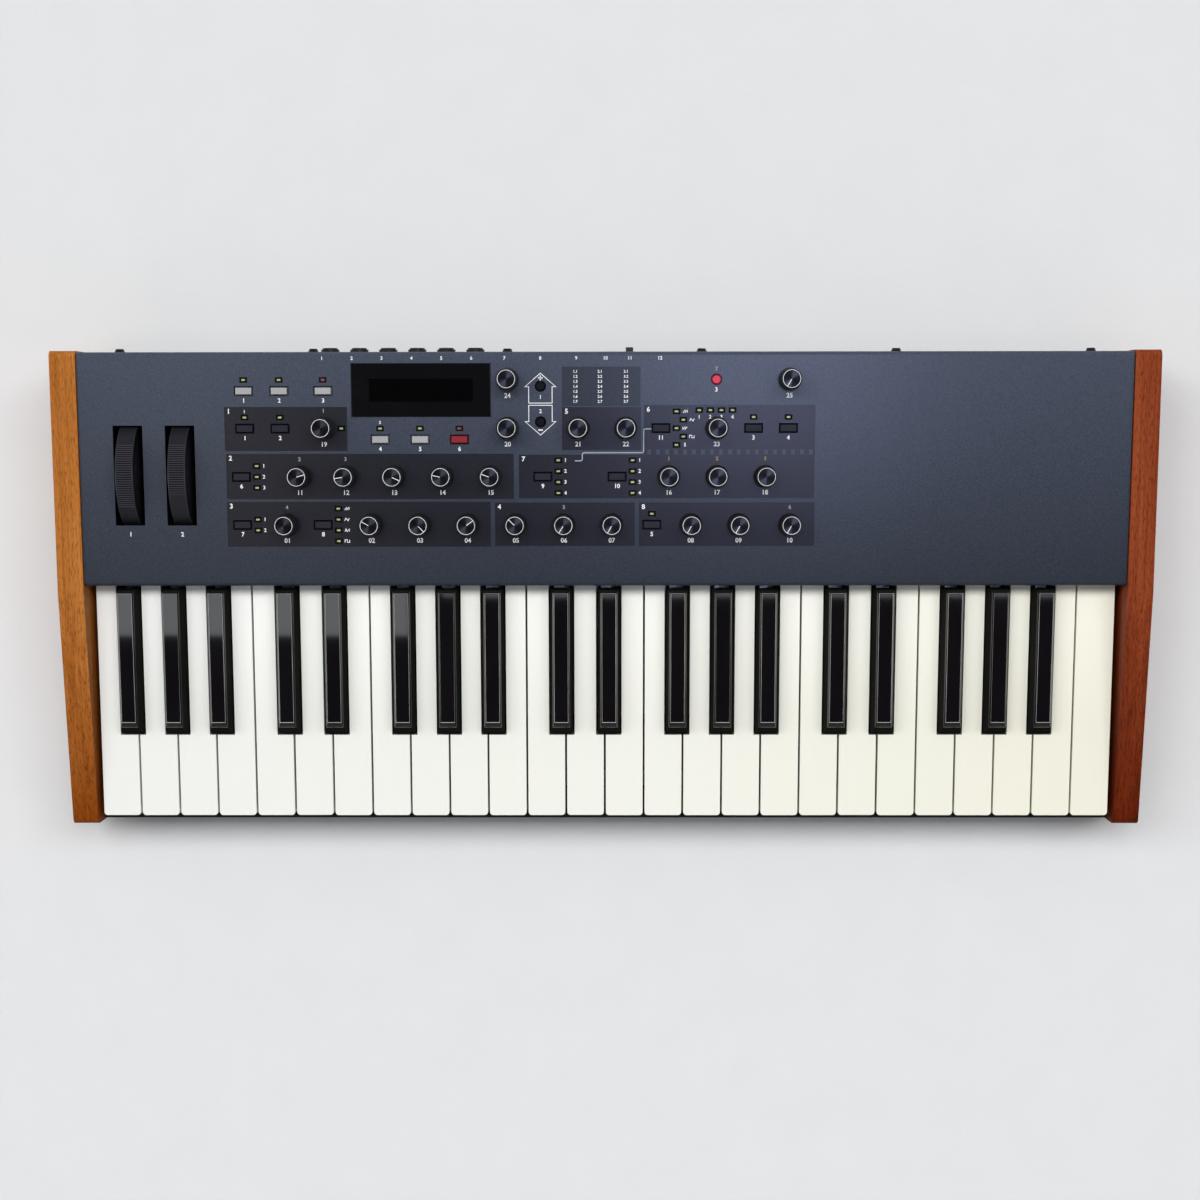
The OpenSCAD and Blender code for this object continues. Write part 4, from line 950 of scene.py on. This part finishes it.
# Mirrored in the black key tops, a lamp here shows to the camera at their rear edge
BLACK_TOP_REAR = KEY_FRONT + 0.1352
RIM_LIGHT_Y = BLACK_TOP_REAR + (BLACK_TOP_REAR - EYE_AT[1]) * (LAMP_Z - BLACK_TOP) / (EYE_AT[2] - BLACK_TOP)


def backdrop():
    """A level floor of pale card, that fills the camera's view."""
    mesh = bpy.data.meshes.new("floor")
    corners = np.c_[rectangle(FLOOR_HALF, FLOOR_HALF), np.zeros(4)]
    mesh.from_pydata(corners.tolist(), [], [(0, 1, 2, 3)])
    floor = bpy.data.objects.new("floor", mesh)
    bpy.context.scene.collection.objects.link(floor)
    paint(floor, moulded("floor_card", (0.76, 0.765, 0.77), 0.9, 0.01, 300, 0.0001))


def hang(name, lamp, at, facing, fills=True, shines=True):
    """Hangs a lamp that shines against a facing vector; it lights, shows in reflections, or does both."""
    holder = bpy.data.objects.new(name, lamp)
    turned = Vector(facing).to_track_quat("Z", "Y").to_matrix().to_4x4()
    holder.matrix_world = Matrix.Translation(at) @ turned
    holder.visible_diffuse = fills
    holder.visible_glossy = shines
    bpy.context.scene.collection.objects.link(holder)
    return holder


def soft_lamp(name, at, size, power, colour=(1, 1, 1), aim=None, fills=True, shines=True):
    """A rectangular soft lamp that faces an aim, or straight down."""
    lamp = bpy.data.lights.new(name, "AREA")
    lamp.shape = "RECTANGLE"
    lamp.size, lamp.size_y = size
    lamp.energy = power
    lamp.color = colour
    facing = Vector(at) - Vector(aim or (at[0], at[1], 0))
    hang(name, lamp, at, facing, fills, shines).visible_camera = False


def soft_sun(name, away, strength, spread_angle):
    """A distant soft lamp in a direction, some degrees wide, that lights but shows in no reflection."""
    lamp = bpy.data.lights.new(name, "SUN")
    lamp.energy = strength
    lamp.angle = math.radians(spread_angle)
    hang(name, lamp, (0, 0, 0), away, shines=False)


backdrop()
# A long soft light behind the panel, as a fan of distant lamps: place to the side and share of the strength
KEY_FAN = ((-2.0, 0.5), (-1.06, 0.7), (-0.26, 1.2), (0.54, 0.8), (1.34, 0.65))
KEY_BACK, KEY_UP, KEY_STRENGTH, KEY_SPREAD = 0.82, 2.15, 0.73, 18
for side, share in KEY_FAN:
    soft_sun("rear_key", (side, KEY_BACK, KEY_UP), KEY_STRENGTH * share, KEY_SPREAD)
soft_lamp("overhead", (-0.05, 0.0, 2.3), (1.5, 1.1), 3, shines=False)
for name, side in (("left_window", -1.9), ("right_window", 1.9)):
    soft_lamp(name, (side, -0.22, 0.95), (0.32, 1.5), 9, aim=(0, -0.05, 0), fills=False)
soft_lamp("left_strip", (-0.625, -0.17, LAMP_Z), (0.65, 0.11), 0.62, COOL)
soft_lamp("rear_line", (0.32, RIM_LIGHT_Y, LAMP_Z), (1.15, 0.008), 0.07, COOL)
soft_lamp("panel_sheen", (0.225, 0.205, LAMP_Z), (0.35, 0.29), 5.0, (0.55, 0.62, 1), fills=False)
soft_lamp("left_sheen", (-0.63, 0.13, LAMP_Z), (0.3, 0.2), 0.45, fills=False)

# A pale sky with a dark patch overhead, which polished tops mirror as black
HORIZON, PALE = (0.8, 0.81, 0.83), (0.96, 0.97, 1.0)
SKY = [(0.0, HORIZON), (0.5, PALE), (0.84, PALE), (0.91, (0.06, 0.06, 0.07)), (1.0, (0.05, 0.05, 0.055))]
SKY_STRENGTH = 0.28
world = bpy.data.worlds.new("studio")
bpy.context.scene.world = world
world.use_nodes = True
sky = world.node_tree
ray = add(sky, "ShaderNodeTexCoord").outputs["Generated"]
height = add(sky, "ShaderNodeSeparateXYZ", {"Vector": ray}).outputs["Z"]
shade = ramp(sky, spread(sky, height, 0, 1, 0, 1), SKY)
plug(sky, sky.nodes["Background"], {"Color": shade, "Strength": SKY_STRENGTH})

camera = bpy.data.cameras.new("camera")
camera.sensor_width = 36
camera.lens = 63.0
camera.shift_y = 0.1298
camera.clip_end = 50
eye = bpy.data.objects.new("camera", camera)
bpy.context.scene.collection.objects.link(eye)
turn = Matrix.Rotation(EYE_ROLL, 3, "Z") @ Matrix.Rotation(EYE_TILT, 3, "X")
turn = turn @ Matrix.Rotation(EYE_PAN, 3, "Y")
eye.matrix_world = Matrix.Translation(EYE_AT) @ turn.transposed().to_4x4()
bpy.context.scene.camera = eye
bpy.context.scene.view_settings.view_transform = "Standard"
